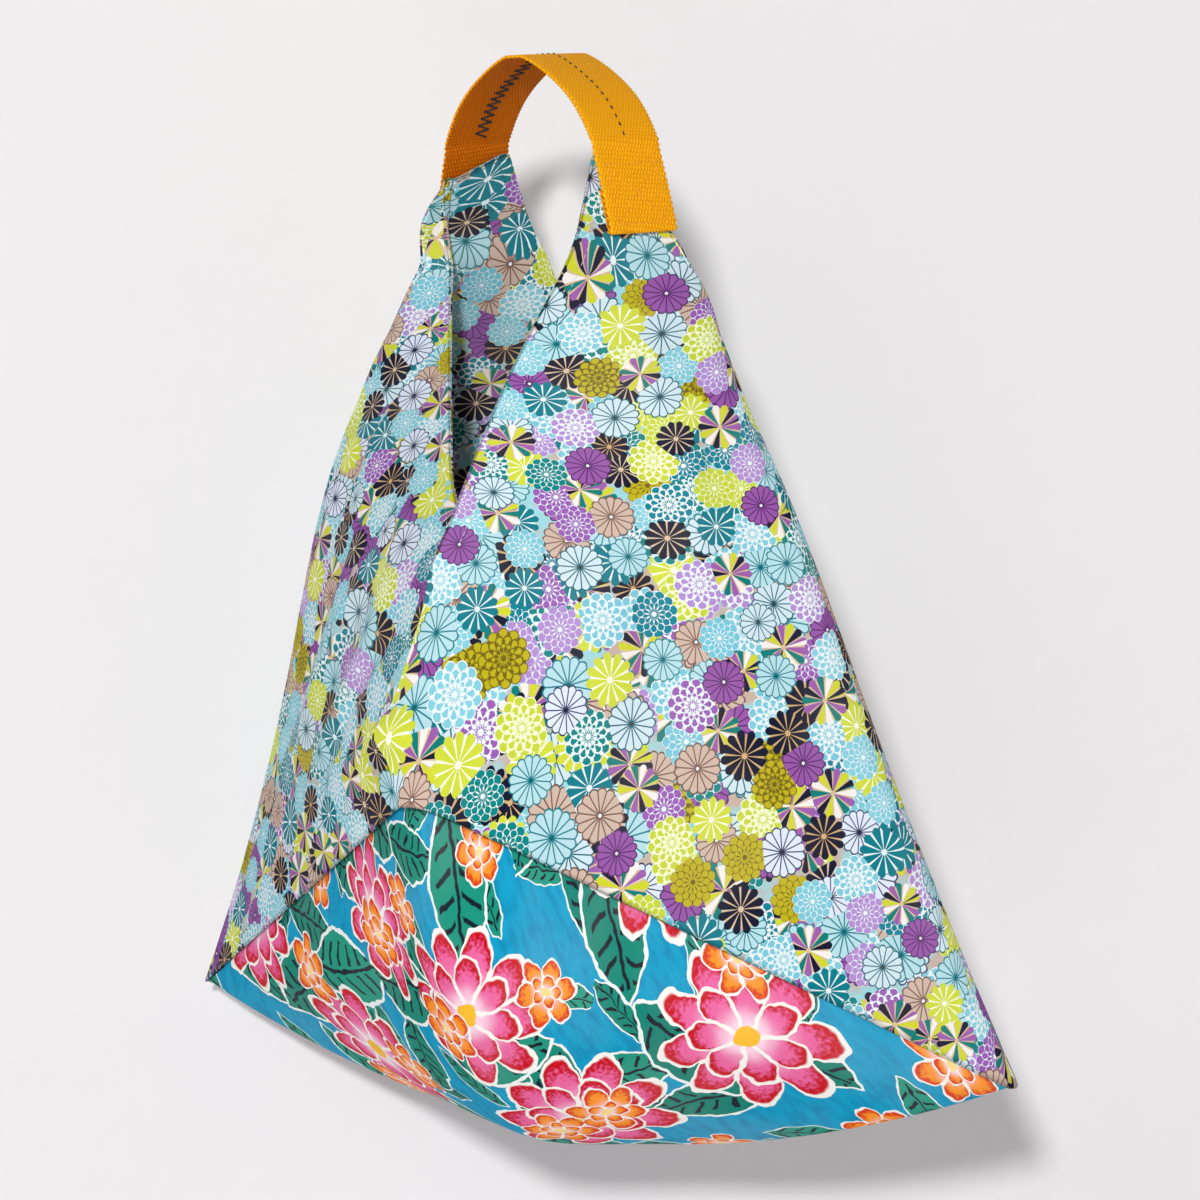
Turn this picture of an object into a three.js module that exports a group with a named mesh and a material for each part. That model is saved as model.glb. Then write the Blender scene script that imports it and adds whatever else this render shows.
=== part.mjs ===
// A hanging cloth lunch bag: two square upper panels crossed over at a front and a back notch,
// a deep base panel, a full lining, and one webbing strap sewn to the two upper tips.
// Millimetres, +Z up. The origin is the middle of the strap's underside, where a hook or a hand carries it.
import * as THREE from 'three';

// Strap
const STRAP_WIDTH = 38;
const STRAP_THICKNESS = 1.8;
const STRAP_FOLD_GAP = 0.4;
const STRAP_LAP = 36;
const STRAP_UNDER_LENGTH = 30;
const STRAP_REST_LENGTH = 14;
const STRAP_ARCH_SQUARENESS = 1.25;
const STRAP_TURN = THREE.MathUtils.degToRad(-27.7);
const ARCH_START_ABOVE_TIP = 6;

// Box stitch on each strap end
const STITCH_SIDE = 28;
const STITCH_WIDTH = 1.2;
const STITCH_HEIGHT = 0.5;

// Cloth layers
const CLOTH_THICKNESS = 1.0;
const LINING_THICKNESS = 0.8;
const LAYER_GAP = 0.65;
const SEAT_GAP = 0.3;
const LAP_OFFSET = 2.3;

// Bag, measured down from the upper tips and out from the upright centre line
const TIP_DROP = 48;
const TIP_REACH = 77;
const TIP_WIDTH = 26;
const TIP_RIDGE_SHIFT = 6;
const SHOULDER_RIDGE_SHIFT = 17;
const FLAT_TIP_DROP = 45;
const SHOULDER_DROP = 54;
const SHOULDER_SOFTNESS = 0.014;
const CORNER_DROP = 456;
const CORNER_REACH = 249;
const RIDGE_BOW = 25;
const SWELL_LIFT = 2.4;
const SWAY = 7;
const SWAY_HEADING = THREE.MathUtils.degToRad(210);
const NOTCH_DROP = 259;
const NOTCH_DEPTH = 160;
const NOTCH_SHIFT = 0;
const CROSSING_DROP = 188;
const DRAPE_SHARPNESS = 2.2;
const APEX_DROP = 292;
const APEX_SHIFT = 6;
const APEX_DEPTH = 160;
const BOTTOM_DROP = 511;
const BOTTOM_CORNER_SWELL = 1.8;
const FOLD_ROUNDING = 20;
const CREASE_WRAP = 8;
const EDGE_STEP = 4;
const WRAP_FADE = 0.16;
const SEAM_MARGIN = 8;
const LINING_RAISE = 16;
const LINING_CORNER_TUCK = 6;
const CORNER_TUCK_SHARPNESS = 12;
const BELLY_HEIGHT = 4;

// Soft folds that run up a panel: start and end as [level, place across], half width across, and height
const FOLD_LINES = [
  { start: [0.10, 0.30], end: [0.60, 0.58], halfWidth: 0.11, height: 5 },
  { start: [0.12, 0.62], end: [0.52, 0.80], halfWidth: 0.09, height: 4 },
  { start: [0.10, -0.78], end: [0.46, -0.56], halfWidth: 0.10, height: 3.5 },
  { start: [0.14, -0.26], end: [0.74, -0.44], halfWidth: 0.13, height: 3 },
];

// Mesh density
const FOLD_COLUMNS = [0, 1, 2.2, 3.8];
const MIDDLE_COLUMNS = 6;
const PANEL_ROWS = 14;
const TIP_ROWS = 2;
const BOWL_ROWS = 8;
const ARCH_STEPS = 12;
const TURN_STEPS = 4;
const FILTER_SAMPLES = 9;

const CLOTH_COLOUR = 0xb9d3cf;
const BASE_COLOUR = 0x0aa5d0;
const STRAP_COLOUR = 0xf5a90f;
const THREAD_COLOUR = 0xd98a0a;

const { clamp, lerp, smoothstep } = THREE.MathUtils;

const TIP_Z = -TIP_DROP;
const drop = (distance) => TIP_Z - distance;
const ACROSS = new THREE.Vector3(Math.cos(STRAP_TURN), Math.sin(STRAP_TURN), 0);
const ALONG = new THREE.Vector3(-Math.sin(STRAP_TURN), Math.cos(STRAP_TURN), 0);

// The left panel is the right one turned half round about the centre line
const halfTurn = (p) => new THREE.Vector3(-p.x, -p.y, p.z);

// A point on the flat right tip, at a distance along the strap's width
function tipPoint(along) {
  return ACROSS.clone().multiplyScalar(TIP_REACH).addScaledVector(ALONG, along).setZ(TIP_Z);
}

// Follows v up to 1 and stays there, with a soft bend
function softLimit(v, softness) {
  if (v < 1 - softness) return v;
  if (v > 1 + softness) return 1;
  return 1 - (1 + softness - v) ** 2 / (4 * softness);
}

const TIP_FRONT = tipPoint(-TIP_WIDTH / 2);
const TIP_BACK = tipPoint(TIP_WIDTH / 2);
const APEX = new THREE.Vector3(APEX_SHIFT, -APEX_DEPTH, drop(APEX_DROP));
const NOTCH = new THREE.Vector3(NOTCH_SHIFT, -NOTCH_DEPTH, drop(NOTCH_DROP));
const CORNER = new THREE.Vector3(CORNER_REACH, 0, drop(CORNER_DROP));
const NOTCH_T = 1 - NOTCH_DROP / APEX_DROP;
const CROSSING_T = 1 - CROSSING_DROP / APEX_DROP;

// Front edge of the right panel, from the base seam (t = 0) by the notch to the tip (t = 1)
function frontEdge(t) {
  if (t < NOTCH_T) return APEX.clone().lerp(NOTCH, t / NOTCH_T);
  return NOTCH.clone().lerp(TIP_FRONT, (t - NOTCH_T) / (1 - NOTCH_T));
}

// Back edge of the right panel: under the left panel's front edge line, then draped up to the tip
function backEdge(t) {
  const crease = halfTurn(frontEdge(Math.min(t, CROSSING_T)));
  if (t <= CROSSING_T) return crease;
  const rise = (t - CROSSING_T) / (1 - CROSSING_T);
  const sweep = 1 - (1 - rise) ** DRAPE_SHARPNESS;
  return crease.lerp(TIP_BACK, sweep).setZ(lerp(APEX.z, TIP_Z, t));
}

// A swell that is 0 at the bottom corners and at the shoulders, and fullest above the middle
function swell(z) {
  const climb = clamp((z - CORNER.z) / (CORNER_DROP - SHOULDER_DROP), 0, 1);
  return Math.sin(Math.PI * climb ** SWELL_LIFT);
}

// Side fold of the right panel, from the bottom corner to the tip, upright behind the strap
function ridge(t) {
  const z = drop((1 - t) * lerp(CORNER_DROP, APEX_DROP, t));
  const climb = (z - CORNER.z) / (CORNER_DROP - SHOULDER_DROP);
  const below = Math.min((TIP_Z - z) / SHOULDER_DROP, 1);
  const top = tipPoint(lerp(TIP_RIDGE_SHIFT, SHOULDER_RIDGE_SHIFT, below));
  const point = CORNER.clone().lerp(top, softLimit(climb, SHOULDER_SOFTNESS)).setZ(z);
  point.x += RIDGE_BOW * swell(z);
  return point;
}

// The panels wrap over each other at the crease below the crossing, and lie level again above it
const fadeFrom = (t, start) => 1 - smoothstep(t, start, start + WRAP_FADE);
const overWrapAt = (t) => fadeFrom(t, CROSSING_T - WRAP_FADE / 2);
const underWrapAt = (t) => fadeFrom(t, CROSSING_T);
const lapAt = (t) => fadeFrom(t, CROSSING_T + WRAP_FADE);

// Where a panel's edge ends past its guide line: round the crease where the panels wrap, else straight on
function edgeEnd(edge, side, wrap) {
  const straight = edge.clone().sub(side).normalize();
  const round = halfTurn(side).sub(edge).normalize();
  const heading = straight.lerp(round, wrap).normalize();
  return edge.clone().addScaledVector(heading, lerp(EDGE_STEP, CREASE_WRAP, wrap));
}

// The whole hanging bag leans a little to one side between its tips and its bottom
function swayed(point) {
  const reach = SWAY * swell(point.z);
  return new THREE.Vector3(
    point.x + reach * Math.cos(SWAY_HEADING), point.y + reach * Math.sin(SWAY_HEADING), point.z);
}

// A path along straight stretches whose bends are rounded by a moving average of the given reach
class SoftPath {
  constructor(points, reach, closed = false) {
    this.points = closed ? [...points, points[0]] : points;
    this.reach = reach;
    this.closed = closed;
    this.lengths = [0];
    for (let i = 1; i < this.points.length; i += 1) {
      const step = this.points[i].distanceTo(this.points[i - 1]);
      this.lengths.push(this.lengths[i - 1] + step);
    }
    this.total = this.lengths.at(-1);
  }

  raw(distance) {
    const d = this.closed ? THREE.MathUtils.euclideanModulo(distance, this.total) : distance;
    let i = 1;
    while (i < this.points.length - 1 && this.lengths[i] < d) i += 1;
    const part = (d - this.lengths[i - 1]) / (this.lengths[i] - this.lengths[i - 1]);
    return this.points[i - 1].clone().lerp(this.points[i], part);
  }

  at(distance) {
    const sum = new THREE.Vector3();
    for (let k = 0; k < FILTER_SAMPLES; k += 1) {
      const shift = this.reach * ((2 * k) / (FILTER_SAMPLES - 1) - 1);
      sum.add(this.raw(distance + shift));
    }
    return sum.divideScalar(FILTER_SAMPLES);
  }
}

// Distances of the columns from a crease (0) to a side fold (length), close together at both folds
function columnStops(length) {
  const unit = Math.min(CREASE_WRAP, length / 10);
  const near = FOLD_COLUMNS.map((step) => step * unit);
  const far = near.map((step) => length - step).reverse();
  const first = near.at(-1);
  const gap = (far[0] - first) / (MIDDLE_COLUMNS + 1);
  const middle = Array.from({ length: MIDDLE_COLUMNS }, (_, k) => first + gap * (k + 1));
  return [...near, ...middle, ...far];
}

// One row of the right panel, from its front edge round the side fold to its back edge
function panelRow(t) {
  const front = frontEdge(t);
  const side = ridge(t);
  const back = backEdge(t);
  const frontEnd = edgeEnd(front, side, overWrapAt(t));
  const backEnd = edgeEnd(back, side, underWrapAt(t));
  const corners = [frontEnd, front, side, back, backEnd];
  const shortest = Math.min(front.distanceTo(side), side.distanceTo(back));
  const path = new SoftPath(corners, Math.min(FOLD_ROUNDING, shortest * 0.4));
  const [, frontAt, sideAt, backAt, end] = path.lengths;
  const toSide = columnStops(sideAt - frontAt).map((stop) => frontAt + stop);
  const toBack = columnStops(backAt - sideAt).reverse().map((stop) => backAt - stop);
  const acrossAt = (stop) => (stop - sideAt) / (stop < sideAt ? sideAt - frontAt : backAt - sideAt);
  const stops = [0, ...toSide, ...toBack.slice(1), end];
  return stops.map((stop) => ({ point: path.at(stop), across: acrossAt(stop) }));
}

// Height of a panel's belly and folds, calm at the seam, at the creases and towards the tips
function relief(t, across) {
  const lengthwise = smoothstep(t, 0.09, 0.22) * (1 - smoothstep(t, 0.66, 0.82));
  const calm = lengthwise * smoothstep(1 - Math.abs(across), 0.03, 0.16);
  let total = BELLY_HEIGHT * Math.abs(Math.sin(Math.PI * across));
  for (const { start, end, halfWidth, height } of FOLD_LINES) {
    const share = clamp((t - start[0]) / (end[0] - start[0]), 0, 1);
    const away = (across - lerp(start[1], end[1], share)) / halfWidth;
    total += height * Math.sin(Math.PI * share) * Math.exp(-away * away);
  }
  return total * calm;
}

// Loop of the closed bag near the base seam, through both creases and both side folds
function seamLoop(t) {
  const front = frontEdge(t);
  const side = ridge(t);
  const path = new SoftPath([front, side, halfTurn(front), halfTurn(side)], FOLD_ROUNDING, true);
  const stops = [];
  for (let k = 0; k < 4; k += 1) {
    const length = path.lengths[k + 1] - path.lengths[k];
    const forward = columnStops(length);
    const order = k % 2 === 0 ? forward : forward.map((stop) => length - stop).reverse();
    stops.push(...order.slice(0, -1).map((stop) => path.lengths[k] + stop));
  }
  return stops.map((stop) => path.at(stop));
}

// Outward normals of a grid of points, by the slope between neighbours
function gridNormals(grid, closed) {
  const rows = grid.length;
  const columns = grid[0].length;
  return grid.map((row, i) => row.map((point, j) => {
    const before = closed ? (j + columns - 1) % columns : Math.max(j - 1, 0);
    const after = closed ? (j + 1) % columns : Math.min(j + 1, columns - 1);
    const alongRow = row[after].clone().sub(row[before]);
    const upward = grid[Math.min(i + 1, rows - 1)][j].clone().sub(grid[Math.max(i - 1, 0)][j]);
    return alongRow.cross(upward).normalize();
  }));
}

// A sheet of even thickness on a grid whose rows run upward and whose columns run anticlockwise
function sheetGeometry(grid, offsetAt, thickness, { closed = false, pole = false } = {}) {
  const rows = grid.length;
  const columns = grid[0].length;
  const normals = gridNormals(grid, closed);
  const positions = [];
  const indices = [];
  for (const face of [0.5, -0.5]) {
    grid.forEach((row, i) => row.forEach((point, j) => {
      const out = offsetAt(i, j) + face * thickness;
      positions.push(...point.clone().addScaledVector(normals[i][j], out).toArray());
    }));
  }
  const inner = rows * columns;
  const id = (i, j) => i * columns + (j % columns);
  const quad = (a, b, c, d) => indices.push(a, b, c, a, c, d);
  const spans = closed ? columns : columns - 1;
  for (let i = 0; i < rows - 1; i += 1) {
    for (let j = 0; j < spans; j += 1) {
      quad(id(i, j), id(i, j + 1), id(i + 1, j + 1), id(i + 1, j));
      quad(inner + id(i, j), inner + id(i + 1, j), inner + id(i + 1, j + 1), inner + id(i, j + 1));
    }
  }
  for (let j = 0; j < spans; j += 1) {
    const top = rows - 1;
    quad(id(top, j), id(top, j + 1), inner + id(top, j + 1), inner + id(top, j));
    if (!pole) quad(id(0, j + 1), id(0, j), inner + id(0, j), inner + id(0, j + 1));
  }
  if (!closed) {
    const last = columns - 1;
    for (let i = 0; i < rows - 1; i += 1) {
      quad(id(i, 0), id(i + 1, 0), inner + id(i + 1, 0), inner + id(i, 0));
      quad(id(i + 1, last), id(i, last), inner + id(i, last), inner + id(i + 1, last));
    }
  }
  if (pole) addPole(grid, offsetAt, thickness, positions, indices, inner);
  const geometry = new THREE.BufferGeometry();
  geometry.setAttribute('position', new THREE.Float32BufferAttribute(positions, 3));
  geometry.setIndex(indices);
  geometry.computeVertexNormals();
  return geometry;
}

// Closes the lowest loop of a bowl with one middle point on each face
function addPole(grid, offsetAt, thickness, positions, indices, inner) {
  const columns = grid[0].length;
  const bottom = drop(BOTTOM_DROP) - offsetAt(0, 0);
  const outerPole = positions.length / 3;
  positions.push(0, 0, bottom - thickness / 2);
  positions.push(0, 0, bottom + thickness / 2);
  for (let j = 0; j < columns; j += 1) {
    const next = (j + 1) % columns;
    indices.push(outerPole, next, j);
    indices.push(outerPole + 1, inner + j, inner + next);
  }
}

// Levels of an upper panel's rows up to the flat tip and on it; the lining starts at the second
const LINING_START = LINING_RAISE / APEX_DROP;
const LEVELS = [0];
const FLAT_START = 1 - FLAT_TIP_DROP / APEX_DROP;
for (let i = 0; i < PANEL_ROWS; i += 1) LEVELS.push(lerp(LINING_START, FLAT_START, i / (PANEL_ROWS - 1)));
for (let i = 1; i <= TIP_ROWS; i += 1) LEVELS.push(lerp(FLAT_START, 1, i / TIP_ROWS));

function panelGeometry(levels, turned, inset, thickness) {
  const place = (point) => swayed(turned ? halfTurn(point) : point);
  const rows = levels.map(panelRow);
  const grid = rows.map((row) => row.map(({ point }) => place(point)));
  const middle = (grid[0].length - 1) / 2;
  const offset = (i, j) => {
    const s = j / middle - 1;
    const lap = -LAP_OFFSET * s * Math.abs(s) * lapAt(levels[i]);
    return lap - inset + relief(levels[i], rows[i][j].across);
  };
  return sheetGeometry(grid, offset, thickness);
}

// Base bowl: a margin lapped under the upper panels, then the deep sagging bottom
function baseGeometry(startT, inset, cornerTuck, thickness) {
  const rim = seamLoop(0);
  const tucked = (p) => {
    const corner = (Math.abs(p.x) / CORNER_REACH) ** CORNER_TUCK_SHARPNESS;
    return new THREE.Vector3(p.x - Math.sign(p.x) * cornerTuck * corner, p.y, p.z);
  };
  const place = (row) => row.map((point) => swayed(tucked(point)));
  const grid = [];
  for (let i = 1; i < BOWL_ROWS; i += 1) {
    const angle = ((Math.PI / 2) * i) / BOWL_ROWS;
    grid.push(place(rim.map((p) => bowlPoint(p, Math.sin(angle)))));
  }
  grid.push(place(rim));
  grid.push(place(seamLoop(startT / 2)));
  grid.push(place(seamLoop(startT)));
  const offset = (i, j) => {
    const crease = (Math.abs(rim[j].y) / APEX_DEPTH) ** 2;
    return -inset - (LAP_OFFSET + LAYER_GAP) * crease;
  };
  const poleSafe = (i, j) => (i === 0 ? -inset : offset(i, j));
  return sheetGeometry(grid, poleSafe, thickness, { closed: true, pole: true });
}

// A point of the bowl on the line from the bottom's middle (r = 0) to a rim point (r = 1)
function bowlPoint(rimPoint, r) {
  const cornerShare = (Math.abs(rimPoint.x) / CORNER_REACH) ** 2;
  const round = 1 - Math.sqrt(1 - r * r);
  const straight = r ** BOTTOM_CORNER_SWELL;
  const z = lerp(drop(BOTTOM_DROP), rimPoint.z, lerp(round, straight, cornerShare));
  return new THREE.Vector3(rimPoint.x * r, rimPoint.y * r, z);
}

// Strap: centre line of its right half in the strap's plane, from the tucked end to the top
const UNDER_REACH = TIP_REACH + CLOTH_THICKNESS / 2 + SEAT_GAP + STRAP_THICKNESS / 2;
const OUTER_REACH = UNDER_REACH + STRAP_THICKNESS + STRAP_FOLD_GAP;
const LAP_BOTTOM = drop(STRAP_LAP) + (OUTER_REACH - UNDER_REACH) / 2;

function strapHalfLine() {
  const line = [new THREE.Vector2(UNDER_REACH, drop(STRAP_LAP) + STRAP_UNDER_LENGTH)];
  const turnRadius = (OUTER_REACH - UNDER_REACH) / 2;
  for (let i = 0; i <= TURN_STEPS; i += 1) {
    const angle = Math.PI + (Math.PI * i) / TURN_STEPS;
    const x = UNDER_REACH + turnRadius + turnRadius * Math.cos(angle);
    line.push(new THREE.Vector2(x, LAP_BOTTOM + turnRadius * Math.sin(angle)));
  }
  const archStart = TIP_Z + ARCH_START_ABOVE_TIP;
  const archRise = STRAP_THICKNESS / 2 - archStart;
  const halfRest = STRAP_REST_LENGTH / 2;
  const power = 2 / STRAP_ARCH_SQUARENESS;
  for (let i = 0; i <= ARCH_STEPS; i += 1) {
    const angle = ((Math.PI / 2) * i) / ARCH_STEPS;
    const x = halfRest + (OUTER_REACH - halfRest) * Math.max(Math.cos(angle), 0) ** power;
    const z = archStart + archRise * Math.sin(angle) ** power;
    line.push(new THREE.Vector2(x, z));
  }
  return line;
}

// The centre line set off to one side by half the strap's thickness
function offsetLine(line, distance) {
  return line.map((point, i) => {
    const before = point.clone().sub(line[Math.max(i - 1, 0)]).normalize();
    const after = line[Math.min(i + 1, line.length - 1)].clone().sub(point).normalize();
    if (i === 0) before.copy(after);
    if (i === line.length - 1) after.copy(before);
    const middle = before.clone().add(after).normalize();
    const mitre = distance / Math.max(middle.dot(before), 0.5);
    return new THREE.Vector2(point.x - middle.y * mitre, point.y + middle.x * mitre);
  });
}

function strapGeometry() {
  const right = strapHalfLine();
  const left = right.map((p) => new THREE.Vector2(-p.x, p.y)).reverse();
  const line = [...right, ...left];
  const inner = offsetLine(line, STRAP_THICKNESS / 2);
  const outer = offsetLine(line, -STRAP_THICKNESS / 2);
  const shape = new THREE.Shape([...outer, ...inner.reverse()]);
  const geometry = new THREE.ExtrudeGeometry(shape, { depth: STRAP_WIDTH, bevelEnabled: false });
  geometry.translate(0, 0, -STRAP_WIDTH / 2);
  geometry.rotateX(Math.PI / 2);
  return geometry;
}

// Box stitch: a sewn square with two diagonals
function boxStitchGeometry() {
  const half = STITCH_SIDE / 2;
  const shape = new THREE.Shape([
    new THREE.Vector2(-half, -half),
    new THREE.Vector2(half, -half),
    new THREE.Vector2(half, half),
    new THREE.Vector2(-half, half),
  ]);
  const legEnd = half - STITCH_WIDTH;
  const legSide = legEnd - STITCH_WIDTH / Math.SQRT2;
  const middleGap = STITCH_WIDTH / Math.SQRT2;
  for (let quarter = 0; quarter < 4; quarter += 1) {
    const corners = [[middleGap, 0], [legEnd, -legSide], [legEnd, legSide]];
    const turn = (quarter * Math.PI) / 2;
    const origin = new THREE.Vector2();
    const turned = corners.map(([x, y]) => new THREE.Vector2(x, y).rotateAround(origin, turn));
    shape.holes.push(new THREE.Path(turned));
  }
  return new THREE.ExtrudeGeometry(shape, { depth: STITCH_HEIGHT, bevelEnabled: false });
}

function piece(name, geometry, colour, roughness) {
  const material = new THREE.MeshStandardMaterial({ color: colour, roughness, metalness: 0 });
  const mesh = new THREE.Mesh(geometry, material);
  mesh.name = name;
  return mesh;
}

const bag = new THREE.Group();

// Upper panels and their linings
const liningInset = (CLOTH_THICKNESS + LINING_THICKNESS) / 2 + LAYER_GAP;
for (const [side, turned] of [['right', false], ['left', true]]) {
  const panel = panelGeometry(LEVELS, turned, 0, CLOTH_THICKNESS);
  const lining = panelGeometry(LEVELS.slice(1), turned, liningInset, LINING_THICKNESS);
  bag.add(piece(`panel_${side}`, panel, CLOTH_COLOUR, 0.85));
  bag.add(piece(`lining_${side}`, lining, CLOTH_COLOUR, 0.9));
}

// Base panel and base lining, each lapped under the panels above it
const baseInset = CLOTH_THICKNESS + 2 * LAYER_GAP;
const baseLiningInset = baseInset + liningInset + LAYER_GAP;
const baseTop = SEAM_MARGIN / APEX_DROP;
const baseLiningTop = (LINING_RAISE + SEAM_MARGIN) / APEX_DROP;
bag.add(piece('base_panel', baseGeometry(baseTop, baseInset, 0, CLOTH_THICKNESS), BASE_COLOUR, 0.85));
const baseLining = baseGeometry(baseLiningTop, baseLiningInset, LINING_CORNER_TUCK, LINING_THICKNESS);
bag.add(piece('lining_base', baseLining, CLOTH_COLOUR, 0.9));

// Strap with its tucked ends, and the box stitch on each end
const strap = new THREE.Group();
strap.rotation.z = STRAP_TURN;
strap.add(piece('strap_webbing', strapGeometry(), STRAP_COLOUR, 0.8));
for (const [side, turn] of [['right', 0], ['left', Math.PI]]) {
  const stitch = piece(`strap_stitch_${side}`, boxStitchGeometry(), THREAD_COLOUR, 0.7);
  const end = new THREE.Group();
  end.rotation.z = turn;
  stitch.rotation.set(Math.PI / 2, Math.PI / 2, 0);
  stitch.position.set(OUTER_REACH + STRAP_THICKNESS / 2 + SEAT_GAP, 0, drop(STRAP_LAP / 2));
  end.add(stitch);
  strap.add(end);
}
bag.add(strap);

export default bag;
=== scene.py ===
"""Looks of a hanging cloth lunch bag: printed panels, base, lining, webbing strap and sewing."""
import math

import bpy
import numpy as np
from bpy.props import FloatProperty, FloatVectorProperty, PointerProperty
from mathutils import Matrix, Vector


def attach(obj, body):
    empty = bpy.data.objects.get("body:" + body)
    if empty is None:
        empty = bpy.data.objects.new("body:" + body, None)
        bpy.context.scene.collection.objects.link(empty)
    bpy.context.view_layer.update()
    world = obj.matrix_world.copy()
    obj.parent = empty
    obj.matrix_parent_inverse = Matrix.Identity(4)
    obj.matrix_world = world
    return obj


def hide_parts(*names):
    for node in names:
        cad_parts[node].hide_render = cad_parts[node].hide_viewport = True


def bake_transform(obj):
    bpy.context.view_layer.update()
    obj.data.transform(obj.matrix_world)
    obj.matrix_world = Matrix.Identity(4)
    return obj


bl_info = {
    "name": "Hanging Lunch Bag",
    "version": (1, 0, 0),
    "blender": (4, 5, 0),
    "location": "View3D > Sidebar > Lunch Bag",
    "description": "Dresses the solids of a hanging cloth lunch bag",
    "category": "Object",
}

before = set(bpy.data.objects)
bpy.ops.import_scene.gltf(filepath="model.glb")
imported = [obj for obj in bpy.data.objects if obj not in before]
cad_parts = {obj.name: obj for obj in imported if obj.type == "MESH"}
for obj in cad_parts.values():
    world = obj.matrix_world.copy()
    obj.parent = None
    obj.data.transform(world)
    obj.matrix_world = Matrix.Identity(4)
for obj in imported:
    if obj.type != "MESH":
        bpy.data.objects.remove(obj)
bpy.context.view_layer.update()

MM = 0.001
TINY = 1e-9
FULL_TURN = 2 * math.pi

# Layout of the solids, in millimetres from the middle of the strap's underside
STRAP_TURN = math.radians(-27.7)
TIP_Z = -48.0
TIP_REACH = 77.0
TIP_WIDTH = 26.0
TIP_RIDGE_SHIFT = 6.0
SHOULDER_RIDGE_SHIFT = 17.0
SHOULDER_DROP = 54.0
SHOULDER_SOFTNESS = 0.014
CORNER_DROP = 456.0
CORNER_REACH = 249.0
RIDGE_BOW = 25.0
SWELL_LIFT = 2.4
SWAY = 7.0
SWAY_HEADING = math.radians(210)
NOTCH_DROP = 259.0
NOTCH_DEPTH = 160.0
CROSSING_DROP = 188.0
DRAPE_SHARPNESS = 2.2
APEX_DROP = 292.0
APEX_SHIFT = 6.0
APEX_DEPTH = 160.0
BOTTOM_DROP = 511.0
BOTTOM_CORNER_SWELL = 1.8
FOLD_ROUNDING = 20.0
FOLD_SHARE = 0.4
CREASE_WRAP = 8.0
EDGE_STEP = 4.0
WRAP_FADE = 0.16
SEAM_MARGIN = 8.0
LINING_RAISE = 16.0
LINING_CORNER_TUCK = 6.0
CORNER_TUCK_SHARPNESS = 12
CLOTH_THICKNESS = 1.0
LINING_THICKNESS = 0.8
LAYER_GAP = 0.65
LAP_OFFSET = 2.3
SEAT_GAP = 0.3
STRAP_THICKNESS = 1.8
STRAP_FOLD_GAP = 0.4
STRAP_LAP = 36.0
STRAP_REST_LENGTH = 14.0
STRAP_ARCH_SQUARENESS = 1.25
ARCH_START_ABOVE_TIP = 6.0

# Mesh density
PANEL_ROWS = 120
HALF_COLUMNS = 60
EDGE_COLUMNS = 4
BOWL_ROWS = 56
MARGIN_ROWS = 6
FILTER_SAMPLES = 25
RIDGE_SAMPLES = 201
SLOPE_STEP = 0.02

# Share of the cloth's width left on the gathered back half of a panel
BACK_SHRINK = 0.82

ACROSS = np.array([math.cos(STRAP_TURN), math.sin(STRAP_TURN), 0.0])
ALONG = np.array([-math.sin(STRAP_TURN), math.cos(STRAP_TURN), 0.0])
HALF_TURN = np.array([-1.0, -1.0, 1.0])


def lerp(a, b, share):
    return a + (b - a) * share


def smoothstep(value, low, high):
    share = np.clip((value - low) / (high - low), 0.0, 1.0)
    return share * share * (3.0 - 2.0 * share)


def unit(vector):
    return vector / max(np.linalg.norm(vector), TINY)


def path_lengths(points):
    """Distance along a line of points from its start to each of them."""
    steps = np.linalg.norm(np.diff(points, axis=0), axis=1)
    return np.concatenate([[0.0], np.cumsum(steps)])


def drop(distance):
    return TIP_Z - distance


def tip_point(along):
    return ACROSS * TIP_REACH + ALONG * along + np.array([0.0, 0.0, TIP_Z])


TIP_FRONT = tip_point(-TIP_WIDTH / 2)
TIP_BACK = tip_point(TIP_WIDTH / 2)
APEX = np.array([APEX_SHIFT, -APEX_DEPTH, drop(APEX_DROP)])
NOTCH = np.array([0.0, -NOTCH_DEPTH, drop(NOTCH_DROP)])
CORNER = np.array([CORNER_REACH, 0.0, drop(CORNER_DROP)])
NOTCH_T = 1 - NOTCH_DROP / APEX_DROP
CROSSING_T = 1 - CROSSING_DROP / APEX_DROP
LINING_START = LINING_RAISE / APEX_DROP


# Guide lines of the right panel; the left one is turned half round about the centre line
def front_edge(t):
    if t < NOTCH_T:
        return lerp(APEX, NOTCH, t / NOTCH_T)
    return lerp(NOTCH, TIP_FRONT, (t - NOTCH_T) / (1 - NOTCH_T))


def back_edge(t):
    crease = front_edge(min(t, CROSSING_T)) * HALF_TURN
    if t <= CROSSING_T:
        return crease
    rise = (t - CROSSING_T) / (1 - CROSSING_T)
    point = lerp(crease, TIP_BACK, 1 - (1 - rise) ** DRAPE_SHARPNESS)
    point[2] = lerp(APEX[2], TIP_Z, t)
    return point


def swell(z):
    climb = np.clip((z - CORNER[2]) / (CORNER_DROP - SHOULDER_DROP), 0.0, 1.0)
    return np.sin(np.pi * climb ** SWELL_LIFT)


def soft_limit(value, softness):
    if value < 1 - softness:
        return value
    if value > 1 + softness:
        return 1.0
    return 1 - (1 + softness - value) ** 2 / (4 * softness)


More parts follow.
